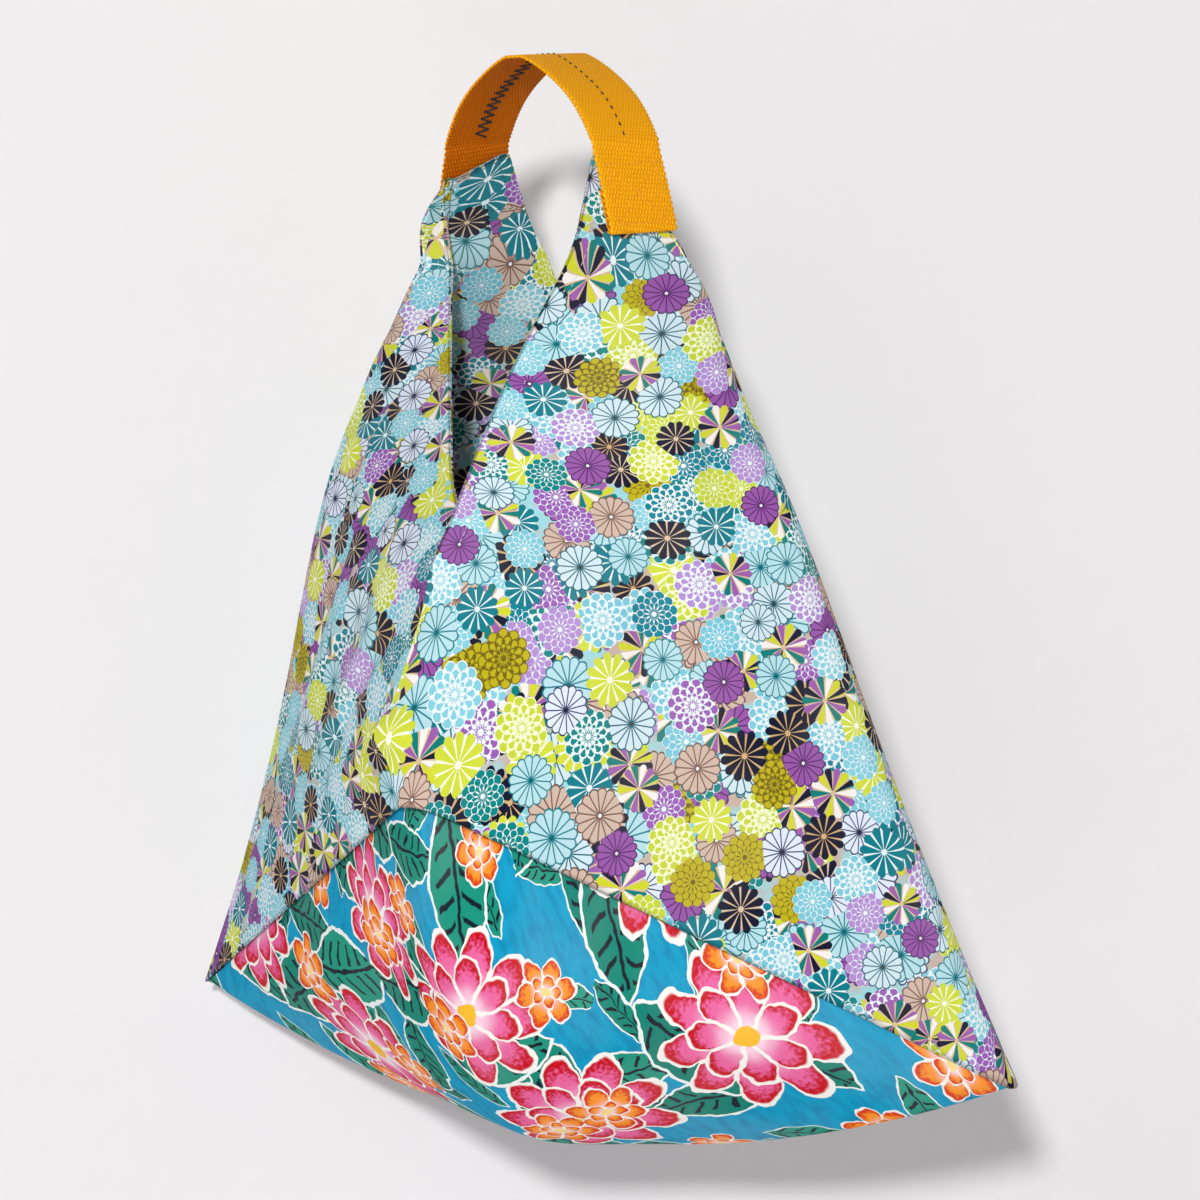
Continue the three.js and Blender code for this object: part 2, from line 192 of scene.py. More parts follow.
def ridge(t):
    z = drop((1 - t) * lerp(CORNER_DROP, APEX_DROP, t))
    climb = (z - CORNER[2]) / (CORNER_DROP - SHOULDER_DROP)
    below = min((TIP_Z - z) / SHOULDER_DROP, 1.0)
    top = tip_point(lerp(TIP_RIDGE_SHIFT, SHOULDER_RIDGE_SHIFT, below))
    point = lerp(CORNER, top, soft_limit(climb, SHOULDER_SOFTNESS))
    point[2] = z
    point[0] += RIDGE_BOW * swell(z)
    return point


def fade_from(t, start):
    return 1 - smoothstep(t, start, start + WRAP_FADE)


def edge_end(edge, side, wrap):
    straight = unit(edge - side)
    around = unit(side * HALF_TURN - edge)
    heading = unit(lerp(straight, around, wrap))
    return edge + heading * lerp(EDGE_STEP, CREASE_WRAP, wrap)


def swayed(points):
    reach = SWAY * swell(points[..., 2])
    moved = points.copy()
    moved[..., 0] += reach * math.cos(SWAY_HEADING)
    moved[..., 1] += reach * math.sin(SWAY_HEADING)
    return moved


class SoftPath:
    """Straight stretches whose bends are rounded by a moving average."""

    def __init__(self, points, reach, closed=False):
        self.points = np.array([*points, points[0]] if closed else points)
        self.reach = reach
        self.closed = closed
        self.lengths = path_lengths(self.points)

    def at(self, stops):
        shifts = np.linspace(-self.reach, self.reach, FILTER_SAMPLES)
        places = np.asarray(stops)[:, None] + shifts
        line, lengths = self.points, self.lengths
        if self.closed:
            places = np.mod(places, lengths[-1])
        else:
            first = line[0] - unit(line[1] - line[0]) * self.reach
            last = line[-1] + unit(line[-1] - line[-2]) * self.reach
            line = np.vstack([first, line, last])
            lengths = np.concatenate([[-self.reach], lengths, [lengths[-1] + self.reach]])
        found = [np.interp(places, lengths, line[:, k]).mean(axis=1) for k in range(3)]
        return np.stack(found, axis=1)


def panel_row(t):
    """Points of one row from the front edge round the side fold to the back edge, each with its cloth
    coordinates and its place across, from -1 at the front edge to 1 at the back."""
    front, side, back = front_edge(t), ridge(t), back_edge(t)
    over = fade_from(t, CROSSING_T - WRAP_FADE / 2)
    under = fade_from(t, CROSSING_T)
    corners = [edge_end(front, side, over), front, side, back, edge_end(back, side, under)]
    shortest = min(np.linalg.norm(front - side), np.linalg.norm(side - back))
    path = SoftPath(corners, min(FOLD_ROUNDING, shortest * FOLD_SHARE))
    front_at, side_at, back_at, end = path.lengths[1:]
    stops = np.concatenate([
        np.linspace(0, front_at, EDGE_COLUMNS, endpoint=False),
        np.linspace(front_at, side_at, HALF_COLUMNS, endpoint=False),
        np.linspace(side_at, back_at, HALF_COLUMNS, endpoint=False),
        np.linspace(back_at, end, EDGE_COLUMNS + 1),
    ])
    upward = unit(ridge(min(t + SLOPE_STEP, 1.0)) - ridge(max(t - SLOPE_STEP, 0.0)))
    arc = np.where(stops < side_at, 1.0, BACK_SHRINK) * (side_at - stops)
    toward = np.where(arc > 0, unit(front - side) @ upward, unit(back - side) @ upward)
    cloth = np.stack([arc * np.sqrt(1 - toward ** 2), np.abs(arc) * toward], axis=1)
    across = (stops - side_at) / np.where(stops < side_at, side_at - front_at, back_at - side_at)
    return path.at(stops), cloth, across


RIDGE_LEVELS = np.linspace(0, 1, RIDGE_SAMPLES)
RIDGE_LENGTHS = path_lengths([ridge(t) for t in RIDGE_LEVELS])


def panel_grid(levels, spread):
    rows, cloth, places = [], [], []
    for t in levels:
        points, flat, across = panel_row(t)
        flat[:, 1] += np.interp(t, RIDGE_LEVELS, RIDGE_LENGTHS)
        rows.append(flared(points, across, spread))
        cloth.append(flat)
        places.append(across)
    return np.array(rows), np.array(cloth), np.array(places)


# How far the limp cloth spreads past the strap's edges, by depth below the tips
FLARE_DEPTHS = (0.0, 14.0, 36.0, 50.0, 76.0, 100.0, 124.0)
RIGHT_FLARE = (0.0, 0.0, 4.0, 13.0, 14.0, 6.0, 0.0)
LEFT_FLARE = (9.0, 17.0, 18.0, 15.0, 11.0, 5.5, 0.0)
FLARE_SOFTNESS = np.linspace(-12.0, 12.0, 9)
BACK_FLARE = (2.0, 2.5, 3.0, 2.5, 1.5, 0.0, 0.0)
TIP_SLANT = 11.0
SLANT_DEPTH = 46.0


def flared(points, across, side_flare):
    """Spreads a row of limp cloth sideways below the strap and lets the tip's back corner hang lower."""
    depth = TIP_Z - points[:, 2]
    soft = depth[:, None] + FLARE_SOFTNESS
    side, back = (np.interp(soft, FLARE_DEPTHS, spread).mean(axis=1) for spread in (side_flare, BACK_FLARE))
    place = np.clip(across, -1, 1)
    shift = side * (1 - np.abs(place)) + back * np.maximum(place, 0) ** 2
    moved = points + shift[:, None] * ALONG
    aside = np.clip((moved @ ALONG) / TIP_WIDTH + 0.5, 0, 1)
    moved[:, 2] -= TIP_SLANT * aside * np.clip(1 - depth / SLANT_DEPTH, 0, 1)
    return moved


# How far the strap's pull draws its legs and the tips together, by height
LEAN_HEIGHTS = (-150.0, -120.0, -92.0, -84.0, -66.0, -48.0, -42.0, -34.0, -26.0, -18.0, -8.0)
LEAN_REACH = (0.0, -1.5, -3.0, -3.0, 3.0, 9.4, 11.9, 9.1, 5.1, 1.5, 0.0)
LEAN_SOFTNESS = np.linspace(-5.0, 5.0, 9)
LEAN_MIDDLE = 30.0


def leaned(points):
    """Draws the legs of the strap and the tips together in one straight pull."""
    points = np.asarray(points, float)
    soft = points[..., 2:] + LEAN_SOFTNESS
    reach = np.interp(soft, LEAN_HEIGHTS, LEAN_REACH).mean(axis=-1)
    side = np.clip((points @ ACROSS) / LEAN_MIDDLE, -1, 1)
    return points - (reach * side)[..., None] * ACROSS


def seam_loop(t, count):
    front, side = front_edge(t), ridge(t)
    path = SoftPath([front, side, front * HALF_TURN, side * HALF_TURN], FOLD_ROUNDING, True)
    stops = np.concatenate([
        np.linspace(path.lengths[k], path.lengths[k + 1], count, endpoint=False) for k in range(4)
    ])
    return path.at(stops)


def grid_normals(grid, closed):
    if closed:
        along = np.roll(grid, -1, axis=1) - np.roll(grid, 1, axis=1)
    else:
        along = np.gradient(grid, axis=1)
    normals = np.cross(along, np.gradient(grid, axis=0))
    return normals / np.maximum(np.linalg.norm(normals, axis=2, keepdims=True), TINY)


def grid_faces(rows, columns, closed):
    """Four-sided faces between the points of a grid, as point numbers."""
    i, j = np.meshgrid(np.arange(rows - 1), np.arange(columns if closed else columns - 1), indexing="ij")
    after = (j + 1) % columns
    row, next_row = i * columns, (i + 1) * columns
    return np.stack([row + j, row + after, next_row + after, next_row + j], axis=2).reshape(-1, 4)


# Broad folds that run up a panel: start and end as (level, place across), half width across, and height
FOLD_LINES = (
    ((0.10, 0.30), (0.60, 0.58), 0.11, 5.0),
    ((0.12, 0.62), (0.52, 0.80), 0.09, 4.0),
    ((0.10, -0.78), (0.46, -0.56), 0.10, 3.5),
    ((0.14, -0.26), (0.74, -0.44), 0.13, 3.0),
)
BELLY_HEIGHT = 4.0
FOLD_END = 0.08

# Where a panel lies calm: by level at the seam and towards the tip, and by place in from its edges
CALM_BELOW, CALM_ABOVE, CALM_EDGE = (0.09, 0.22), (0.66, 0.82), (0.03, 0.16)

# The over panel's edge stands off in a small pinch at the notch
PINCH_LENGTH = 0.030
PINCH_WIDTH = 0.075
PINCH_HEIGHT = 6.5

# Fine creases: (start, end, half width, height) in cloth millimetres, outward heights positive
PANEL_CREASES = (
    ((204, 290), (136, 336), 5, 3.6),
    ((198, 280), (150, 284), 5, -3.2),
    ((206, 268), (140, 232), 7, 3.0),
    ((30, 392), (74, 250), 9, 1.8),
    ((52, 372), (112, 230), 8, -1.8),
    ((-138, 262), (-70, 104), 6, 3.6),
    ((-152, 276), (-90, 120), 6, -3.4),
    ((-112, 322), (-72, 190), 7, 3.0),
    ((-80, 346), (-42, 170), 8, -2.8),
    ((-36, 390), (-22, 230), 7, 2.2),
)


def fold_height(cloth, folds):
    """Height of the folds at each cloth point."""
    total = np.zeros(cloth.shape[:-1])
    for start, end, width, height in folds:
        origin, line = np.array(start, float), np.array(end, float) - np.array(start, float)
        away = cloth - origin
        share = np.clip((away @ line) / (line @ line), 0, 1)
        distance = np.linalg.norm(away - share[..., None] * line, axis=-1)
        fullness = np.sin(np.pi * lerp(FOLD_END, 1 - FOLD_END, share))
        total += height * np.exp(-(distance / width) ** 2) * fullness
    return total


def panel_relief(levels, cloth, across):
    """Height of a panel's belly, folds and creases, calm at the seam, at the creases and towards the tips."""
    rise = levels[:, None]
    lengthwise = smoothstep(rise, *CALM_BELOW) * (1 - smoothstep(rise, *CALM_ABOVE))
    calm = lengthwise * smoothstep(1 - np.abs(across), *CALM_EDGE)
    total = BELLY_HEIGHT * np.abs(np.sin(np.pi * across)) + fold_height(cloth, PANEL_CREASES)
    for start, end, half_width, height in FOLD_LINES:
        share = np.clip((rise - start[0]) / (end[0] - start[0]), 0, 1)
        away = (across - lerp(start[1], end[1], share)) / half_width
        total = total + height * np.sin(np.pi * share) * np.exp(-away ** 2)
    pinch = np.exp(-((rise - NOTCH_T) / PINCH_LENGTH) ** 2 - ((across + 1) / PINCH_WIDTH) ** 2)
    return total * calm + PINCH_HEIGHT * pinch


class ClothShell:
    """A closed sheet of cloth on a grid, with rounded edges and cloth coordinates in metres."""

    def __init__(self, grid, cloth, offset, thickness, closed=False, pole=None):
        self.closed = closed
        self.rows, self.columns = grid.shape[:2]
        normals = grid_normals(grid, closed)
        half = np.asarray(thickness)[..., None] / 2 * np.ones(grid.shape)
        middle = grid + normals * np.asarray(offset)[..., None]
        self.points = [leaned(middle + normals * half), leaned(middle - normals * half)]
        self.middle = leaned(middle)
        self.half = half
        self.cloth = cloth * MM
        self.pole = pole

    def build(self, name):
        rows, columns = self.rows, self.columns
        count = rows * columns
        points = [p.reshape(-1, 3) for p in self.points]
        cloth = [self.cloth.reshape(-1, 2)] * 2
        quads = grid_faces(rows, columns, self.closed)
        faces = quads.tolist() + (quads[:, ::-1] + count).tolist()
        middle = self.middle.reshape(-1, 3)
        next_id = 2 * count
        for rim, inner_rim in self.rims():
            outward = middle[rim] - middle[inner_rim]
            length = np.linalg.norm(outward, axis=1, keepdims=True)
            bulge = outward / np.maximum(length, TINY) * self.half.reshape(-1, 3)[rim]
            points.append(middle[rim] + bulge)
            cloth.append(self.cloth.reshape(-1, 2)[rim])
            ids = np.arange(next_id, next_id + len(rim))
            next_id += len(rim)
            loop = len(rim) if self.closed else len(rim) - 1
            for k in range(loop):
                n = (k + 1) % len(rim)
                faces.append([rim[n], rim[k], ids[k], ids[n]])
                faces.append([ids[n], ids[k], rim[k] + count, rim[n] + count])
        if self.pole is not None:
            outer = next_id
            points.append(np.array(self.pole))
            cloth.append(np.zeros((2, 2)))
            for k in range(columns):
                n = (k + 1) % columns
                faces.append([outer, n, k])
                faces.append([outer + 1, count + k, count + n])
        return mesh_piece(name, np.vstack(points) * MM, faces, np.vstack(cloth))

    def rims(self):
        """Each open edge as point numbers in order, with the numbers of the points just inside it."""
        rows, columns = self.rows, self.columns
        ids = np.arange(rows * columns).reshape(rows, columns)
        if self.closed:
            return [(ids[-1], ids[-2])]
        around = np.concatenate([ids[0], ids[1:, -1], ids[-1, -2::-1], ids[-2::-1, 0]])
        inside = np.concatenate([ids[1], ids[1:, -2], ids[-2, -2::-1], ids[-2::-1, 1]])
        return [(around[::-1], inside[::-1])]


def mesh_piece(name, points, faces, cloth=None):
    """A smooth mesh object at the origin, with its cloth coordinates as a UV map."""
    mesh = bpy.data.meshes.new(name)
    mesh.from_pydata(points.tolist(), [], faces)
    mesh.update()
    mesh.shade_smooth()
    if cloth is not None:
        layer = mesh.uv_layers.new(name="cloth")
        corners = np.zeros(len(mesh.loops), np.int32)
        mesh.loops.foreach_get("vertex_index", corners)
        layer.data.foreach_set("uv", cloth[corners].astype(np.float32).ravel())
    piece = bpy.data.objects.new(name, mesh)
    bpy.context.scene.collection.objects.link(piece)
    return piece


def dress(piece, material):
    piece.data.materials.clear()
    piece.data.materials.append(material)
    return piece


# Shader arithmetic
class Value:
    """A number in a shader, which takes part in plain arithmetic."""

    def __init__(self, shader, socket):
        self.shader = shader
        self.socket = socket

    def math(self, operation, *others):
        return self.shader.math(operation, self, *others)

    def __add__(self, other):
        return self.math("ADD", other)

    def __radd__(self, other):
        return self.shader.math("ADD", other, self)

    def __sub__(self, other):
        return self.math("SUBTRACT", other)

    def __rsub__(self, other):
        return self.shader.math("SUBTRACT", other, self)

    def __mul__(self, other):
        return self.math("MULTIPLY", other)

    def __rmul__(self, other):
        return self.shader.math("MULTIPLY", other, self)

    def __truediv__(self, other):
        return self.math("DIVIDE", other)

    def __rtruediv__(self, other):
        return self.shader.math("DIVIDE", other, self)

    def __lt__(self, other):
        return self.math("LESS_THAN", other)

    def __gt__(self, other):
        return self.math("GREATER_THAN", other)

    def __abs__(self):
        return self.math("ABSOLUTE")

    def fract(self):
        return self.math("FRACT")

    def floor(self):
        return self.math("FLOOR")

    def sin(self):
        return self.math("SINE")


class Nodes:
    """A tree of nodes, and one way to add each of them."""

    def __init__(self, tree):
        self.tree = tree

    def node(self, kind, settings=None, sockets=None):
        made = self.tree.nodes.new(kind)
        for key, setting in (settings or {}).items():
            if key == "stops":
                self.set_stops(made.color_ramp, setting)
            else:
                setattr(made, key, setting)
        for key, value in (sockets or {}).items():
            self.feed(made.inputs[key], value)
        return made

    def set_stops(self, ramp, colours):
        """Gives a ramp plain stretches of colour, all of one length."""
        ramp.interpolation = "CONSTANT"
        while len(ramp.elements) < len(colours):
            ramp.elements.new(1.0)
        for k, colour in enumerate(colours):
            ramp.elements[k].position = k / len(colours)
            ramp.elements[k].color = colour

    def feed(self, socket, value):
        if isinstance(value, Value):
            self.tree.links.new(value.socket, socket)
        elif isinstance(value, bpy.types.NodeSocket):
            self.tree.links.new(value, socket)
        else:
            socket.default_value = value


class Shader(Nodes):
    """The nodes of one material, or of the world."""

    def __init__(self, owner):
        owner.use_nodes = True
        super().__init__(owner.node_tree)
        self.owner = owner
        self.surface = self.tree.nodes.get("Principled BSDF")

    def math(self, operation, *items):
        made = self.node("ShaderNodeMath", {"operation": operation}, dict(enumerate(items)))
        return Value(self, made.outputs[0])

    def vector(self, operation, a, b=None, scale=None):
        sockets = {key: item for key, item in ((0, a), (1, b), (3, scale)) if item is not None}
        made = self.node("ShaderNodeVectorMath", {"operation": operation}, sockets)
        return made.outputs[0]

    def mix(self, factor, a, b):
        made = self.node("ShaderNodeMix", {"data_type": "RGBA"}, {0: factor, 6: a, 7: b})
        return made.outputs[2]

    def parts(self, vector):
        made = self.node("ShaderNodeSeparateXYZ", None, {0: vector})
        return [Value(self, out) for out in made.outputs]

    def step(self, value, low, high):
        made = self.node(
            "ShaderNodeMapRange", {"interpolation_type": "SMOOTHSTEP"}, {0: value, 1: low, 2: high})
        return Value(self, made.outputs[0])

    def larger(self, a, b):
        return self.math("MAXIMUM", a, b)

    def swatches(self, pick, colours):
        """One of several plain colours, chosen by a number from 0 to 1."""
        return self.node("ShaderNodeValToRGB", {"stops": colours}, {0: pick}).outputs[0]

    def noise(self, coordinate, scale, detail=3.0):
        made = self.node(
            "ShaderNodeTexNoise", None, {"Vector": coordinate, "Scale": scale, "Detail": detail})
        return Value(self, made.outputs[0])

    def cloth(self):
        return self.node("ShaderNodeUVMap", {"uv_map": "cloth"}).outputs[0]

    def bump(self, height, strength, distance):
        made = self.node(
            "ShaderNodeBump", None, {"Strength": strength, "Distance": distance, "Height": height})
        self.feed(self.surface.inputs["Normal"], made.outputs[0])

    def seen_directly(self):
        """1 where the camera looks, also by a reflection or through glass, and 0 for light on the bag."""
        ray = self.node("ShaderNodeLightPath").outputs
        camera, glossy, through = (
            Value(self, ray[f"Is {kind} Ray"]) for kind in ("Camera", "Glossy", "Transmission"))
        return self.larger(self.larger(camera, glossy), through)

    def blend(self, factor, other):
        """Mixes another shader over the surface by a factor."""
        mixed = self.node(
            "ShaderNodeMixShader", None, {0: factor, 1: self.surface.outputs[0], 2: other.outputs[0]})
        self.feed(self.tree.nodes["Material Output"].inputs["Surface"], mixed.outputs[0])

    def finish(self, colour, roughness):
        self.feed(self.surface.inputs["Base Color"], colour)
        self.feed(self.surface.inputs["Roughness"], roughness)
        return self.owner


def rgb(red, green, blue):
    """A colour given in screen values from 0 to 255."""
    values = np.array([red, green, blue]) / 255
    linear = np.where(values <= 0.04045, values / 12.92, ((values + 0.055) / 1.055) ** 2.4)
    return (*linear.tolist(), 1.0)


def screen_colour(colour):
    return rgb(*[channel * 255 for channel in colour])


# Chance in the size and the turn of scattered blossoms
SMALLEST_BLOSSOM, BLOSSOM_RANGE, TURNS_APART = 0.86, 0.28, 7.0


class Blossoms:
    """Places of one scattered layer of blossoms: distance and angle about each middle, and chance numbers."""

    def __init__(self, shader, cloth, spacing, shift, scatter, radius):
        spot = shader.vector("ADD", cloth, (*shift, 0.0))
        cells = shader.node(
            "ShaderNodeTexVoronoi",
            {"voronoi_dimensions": "2D"},
            {"Vector": spot, "Scale": 1 / spacing, "Randomness": scatter},
        )
        self.chance = shader.parts(cells.outputs["Color"])
        self.x, self.y, _ = shader.parts(shader.vector("SUBTRACT", spot, cells.outputs["Position"]))
        length = (self.x * self.x + self.y * self.y).math("SQRT")
        self.reach = length / (radius * (SMALLEST_BLOSSOM + BLOSSOM_RANGE * self.chance[2]))
        self.turn = self.y.math("ARCTAN2", self.x) / FULL_TURN + self.chance[0] * TURNS_APART

    def petals(self, count, shift=0.0):
        """Place across a petal, from -0.5 to 0.5, and the petal's number."""
        wedge = self.turn * count + shift
        return wedge.fract() - 0.5, wedge.floor()


# Inks of the upper print
PAPER = rgb(230, 238, 240)
POMPOM_FILLS = (
    rgb(122, 196, 212), rgb(0, 128, 146), rgb(194, 208, 60), rgb(130, 202, 216), rgb(150, 90, 176),
    rgb(116, 194, 212), rgb(188, 174, 26), rgb(174, 138, 204), rgb(128, 200, 214), rgb(0, 130, 128),
)
POMPOM_LINES = (
    PAPER, PAPER, rgb(240, 246, 208), PAPER, PAPER,
    PAPER, rgb(112, 98, 20), PAPER, PAPER, rgb(228, 242, 246),
)
DAISY_FILLS = (
    rgb(218, 228, 242), rgb(204, 180, 164), rgb(180, 218, 226), rgb(206, 226, 234), rgb(146, 84, 162),
)
DAISY_MIDDLES = (rgb(30, 26, 40), PAPER, rgb(0, 92, 96), rgb(70, 52, 50), PAPER)
DAISY_LINES = (
    rgb(40, 46, 92), rgb(118, 82, 72), rgb(0, 122, 134), rgb(0, 98, 112), rgb(84, 34, 98),
)
STAR_FILLS = (rgb(14, 18, 44), rgb(204, 214, 60), rgb(0, 120, 134), rgb(14, 18, 44))
STAR_GROUNDS = (rgb(206, 170, 118), rgb(247, 249, 228), rgb(224, 242, 244), rgb(214, 190, 160))
WEDGE_FILLS = (rgb(204, 210, 40), rgb(0, 122, 116), rgb(16, 20, 46), rgb(238, 234, 228), rgb(154, 92, 168))
WEDGE_GROUND = rgb(214, 186, 150)

# Kinds of blossom: shares of the whole up to each, petals, and how far the petals are rounded
POMPOM_SHARE, DAISY_SHARE, STAR_SHARE = 0.42, 0.70, 0.87
POMPOM_PETALS, DAISY_PETALS, STAR_PETALS, WEDGE_PETALS = 12, 15, 12, 14
POMPOM_ROUNDING, DAISY_ROUNDING, STAR_ROUNDING, WEDGE_ROUNDING = 2.3, 0.5, 0.9, 0.7
POMPOM_RINGS = 4
POMPOM_MARGIN = 0.15
COLOUR_STEP = 0.381966

# Lines and middles of the blossoms, in shares of a radius, a ring or a line's width
THIN_LINE, EXTRA_LINE = 0.07, 0.09
LINE_EDGE = (0.8, 1.25)
GAP_EDGE, GAP_DEPTH = (1.1, 0.6), 0.42
SPOKE_SCALE, SPOKE_EDGE = 0.42, (0.016, 0.034)
RIM_EDGE = (-0.085, -0.05)
FAN_EDGE = (0.36, 0.42)
DAISY_RING, DAISY_MIDDLE, STAR_MIDDLE, WEDGE_MIDDLE = 0.10, 0.07, 0.12, 0.10


def fan(shader, spot, count, rounding, middle):
    """Separate petals round a plain middle: the rim, the petals' shape and their numbers."""
    across, number = spot.petals(count)
    petal = (1.0 - shader.step(abs(across), *FAN_EDGE)) * (spot.reach > middle)
    return 1.0 - across * across * rounding, petal, number


def print_layer(shader, cloth, ground, spacing, shift, scatter, radius):
    """Draws one scattered layer of round blossoms of four kinds over a ground colour."""
    spot = Blossoms(shader, cloth, spacing, shift, scatter, radius)
    kind, tint, _ = spot.chance
    reach = spot.reach

    rings = reach * (POMPOM_RINGS - POMPOM_MARGIN)
    ring = rings.floor()
    depth = rings - ring
    across, _ = spot.petals(POMPOM_PETALS, ((ring * 0.5).fract() > 0.25) * 0.5)
    arc = 1.0 - across * across * POMPOM_ROUNDING
    width = THIN_LINE + (spot.chance[2] > 0.5) * EXTRA_LINE
    line = 1.0 - shader.step(abs(depth - arc) / width, *LINE_EDGE)
    between = shader.step((0.5 - abs(across)) * reach / width, *GAP_EDGE) * (depth < GAP_DEPTH)
    line = shader.larger(line, between)
    pompom = shader.mix(line, shader.swatches(tint, POMPOM_FILLS), shader.swatches(tint, POMPOM_LINES))
    in_pompom = ring + (depth > arc) < POMPOM_RINGS - 0.5

    across, _ = spot.petals(DAISY_PETALS)
    daisy_rim = 1.0 - across * across * DAISY_ROUNDING
    spoke = (0.5 - abs(across)) * reach * SPOKE_SCALE
    line = 1.0 - shader.step(spoke, *SPOKE_EDGE)
    line = shader.larger(line, shader.step(reach - daisy_rim, *RIM_EDGE))
    line = shader.larger(line, reach < DAISY_RING)
    daisy = shader.mix(line, shader.swatches(tint, DAISY_FILLS), shader.swatches(tint, DAISY_LINES))
    daisy = shader.mix(reach < DAISY_MIDDLE, daisy, shader.swatches(tint, DAISY_MIDDLES))

    star_rim, petal, _ = fan(shader, spot, STAR_PETALS, STAR_ROUNDING, STAR_MIDDLE)
    star = shader.mix(petal, shader.swatches(tint, STAR_GROUNDS), shader.swatches(tint, STAR_FILLS))

    wedge_rim, petal, number = fan(shader, spot, WEDGE_PETALS, WEDGE_ROUNDING, WEDGE_MIDDLE)
    hue = shader.swatches((number * COLOUR_STEP + tint).fract(), WEDGE_FILLS)
    wedge = shader.mix(petal, WEDGE_GROUND, hue)

    is_daisy, is_star, is_wedge = kind > POMPOM_SHARE, kind > DAISY_SHARE, kind > STAR_SHARE
    drawn = shader.mix(is_wedge, shader.mix(is_star, shader.mix(is_daisy, pompom, daisy), star), wedge)
    inside = in_pompom
    for chosen, rim in ((is_daisy, daisy_rim), (is_star, star_rim), (is_wedge, wedge_rim)):
        inside = inside + ((reach < rim) - inside) * chosen
    return shader.mix(inside, ground, drawn)


# Surface of the cotton: weave, creases and wear, as pitch or scale and strength
WEAVE_PITCH, WEAVE_SHARE = 0.0012, 0.06
CREASE_SCALE, CREASE_ROUGHNESS = 46.0, 0.14
WEAR_SCALE, WEAR_EDGE, WEAR_SHARE, WEAR_COLOUR = 14.0, (0.35, 0.75), 0.06, rgb(222, 214, 204)
COTTON_BUMP, COTTON_SHEEN, COTTON_ROUGHNESS = (0.35, 0.0016), 0.12, 0.78


def weave_height(shader, cloth, pitch):
    """Height of a plain weave with threads at the given pitch."""
    u, v, _ = shader.parts(cloth)
    turn = FULL_TURN / pitch
    return (u * turn).sin() * (v * turn).sin()


def cloth_finish(shader, cloth, colour):
    """Adds the woven, slightly creased matt surface of printed cotton."""
    creases = shader.noise(cloth, CREASE_SCALE, 4.0)
    height = weave_height(shader, cloth, WEAVE_PITCH) * WEAVE_SHARE + creases
    shader.bump(height, *COTTON_BUMP)
    wear = shader.step(shader.noise(cloth, WEAR_SCALE, 2.0), *WEAR_EDGE)
    worn = shader.mix(wear * WEAR_SHARE, colour, WEAR_COLOUR)
    shader.surface.inputs["Specular IOR Level"].default_value = COTTON_SHEEN
    return shader.finish(worn, COTTON_ROUGHNESS + creases * CREASE_ROUGHNESS)


# Layers of the upper print: spacing and size against the plain ones, and shift
PRINT_LAYERS = ((1.0, 1.16, 0.37), (1.04, 1.10, 0.815), (1.18, 1.06, 1.43))
PRINT_SCATTER = 0.5
RISE_BY_SHIFT, RISE_BY_LAYER = 0.7, 0.61
PATCH_SCALE, PATCH_EDGE, PATCH_COLOUR = 60.0, (0.4, 0.6), rgb(196, 172, 158)


def blossom_cotton(name, ground, spacing, shift):
    shader = Shader(bpy.data.materials.new(name))
    cloth = shader.cloth()
    radius = spacing * 0.5
    patches = shader.step(shader.noise(cloth, PATCH_SCALE), *PATCH_EDGE)
    colour = shader.mix(patches, PATCH_COLOUR, screen_colour(ground))
    for stretch, size, aside in PRINT_LAYERS:
        place = (shift + aside, shift * RISE_BY_SHIFT + aside * RISE_BY_LAYER)
        colour = print_layer(shader, cloth, colour, spacing * stretch, place, PRINT_SCATTER, radius * size)
    return cloth_finish(shader, cloth, colour)


# Scattered leaves of the base: spacing, shift, scatter and width as a share of the length
LEAF_LAYERS = (
    (0.056, (0.93, 0.37), 0.8, 0.34),
    (0.074, (0.21, 0.43), 0.7, 0.46),
    (0.098, (0.67, 0.19), 0.75, 0.52),
)

# Scattered blooms of the base: spacing, shift, scatter, radius, rings of petals, and their three colours
GARDEN_BLOOMS = (
    (0.132, (0.512, 0.744), 0.45, 0.050, ((9, 1.0), (7, 0.66)),
     (rgb(234, 104, 162), rgb(200, 4, 22), rgb(248, 190, 50))),
    (0.086, (1.237, 1.061), 0.7, 0.021, ((6, 1.0), (5, 0.5)),
     (rgb(250, 150, 36), rgb(218, 58, 12), rgb(250, 222, 140))),
)
BLOOM_MIDDLE = 0.13
PETAL_LINE, PETAL_BASE = rgb(246, 244, 238), rgb(250, 214, 230)
PETAL_ROUNDING, PETAL_PALE, PETAL_TIP, PETAL_SIDE = 0.38, (0.2, 0.62), (0.66, 0.9), (0.06, 0.11)
RING_TURN = 1.7
STREAK_SCALE, STREAK_SHARE = 420.0, 0.5

# Leaves: half length against the spacing, colours, white rim, and veins by slope, edge and reach aside
LEAF_LENGTH = 0.48
LEAF_DARK, LEAF_LIGHT = rgb(4, 128, 112), rgb(30, 158, 132)
LEAF_VEIN, LEAF_LINE = rgb(14, 26, 40), rgb(236, 244, 240)
LEAF_RIM = 0.10
VEIN_PITCH, VEIN_SLOPE, VEIN_EDGE, VEIN_REACH = 3.6, 1.1, (0.10, 0.16), (0.14, 0.66)
MIDRIB_WIDTH, MIDRIB_REACH = 0.055, 0.8

# Brushed ground of the base print, and how far a brushed outline wanders
BRUSH_STRETCH, BRUSH_SCALE, BRUSH_EDGE, BRUSH_SHARE = (1.0, 0.35, 1.0), 190.0, (0.4, 0.7), 0.6
BRUSH_COLOUR = rgb(0, 122, 168)
WANDER_SCALE, WANDER_REACH = 70.0, 0.009


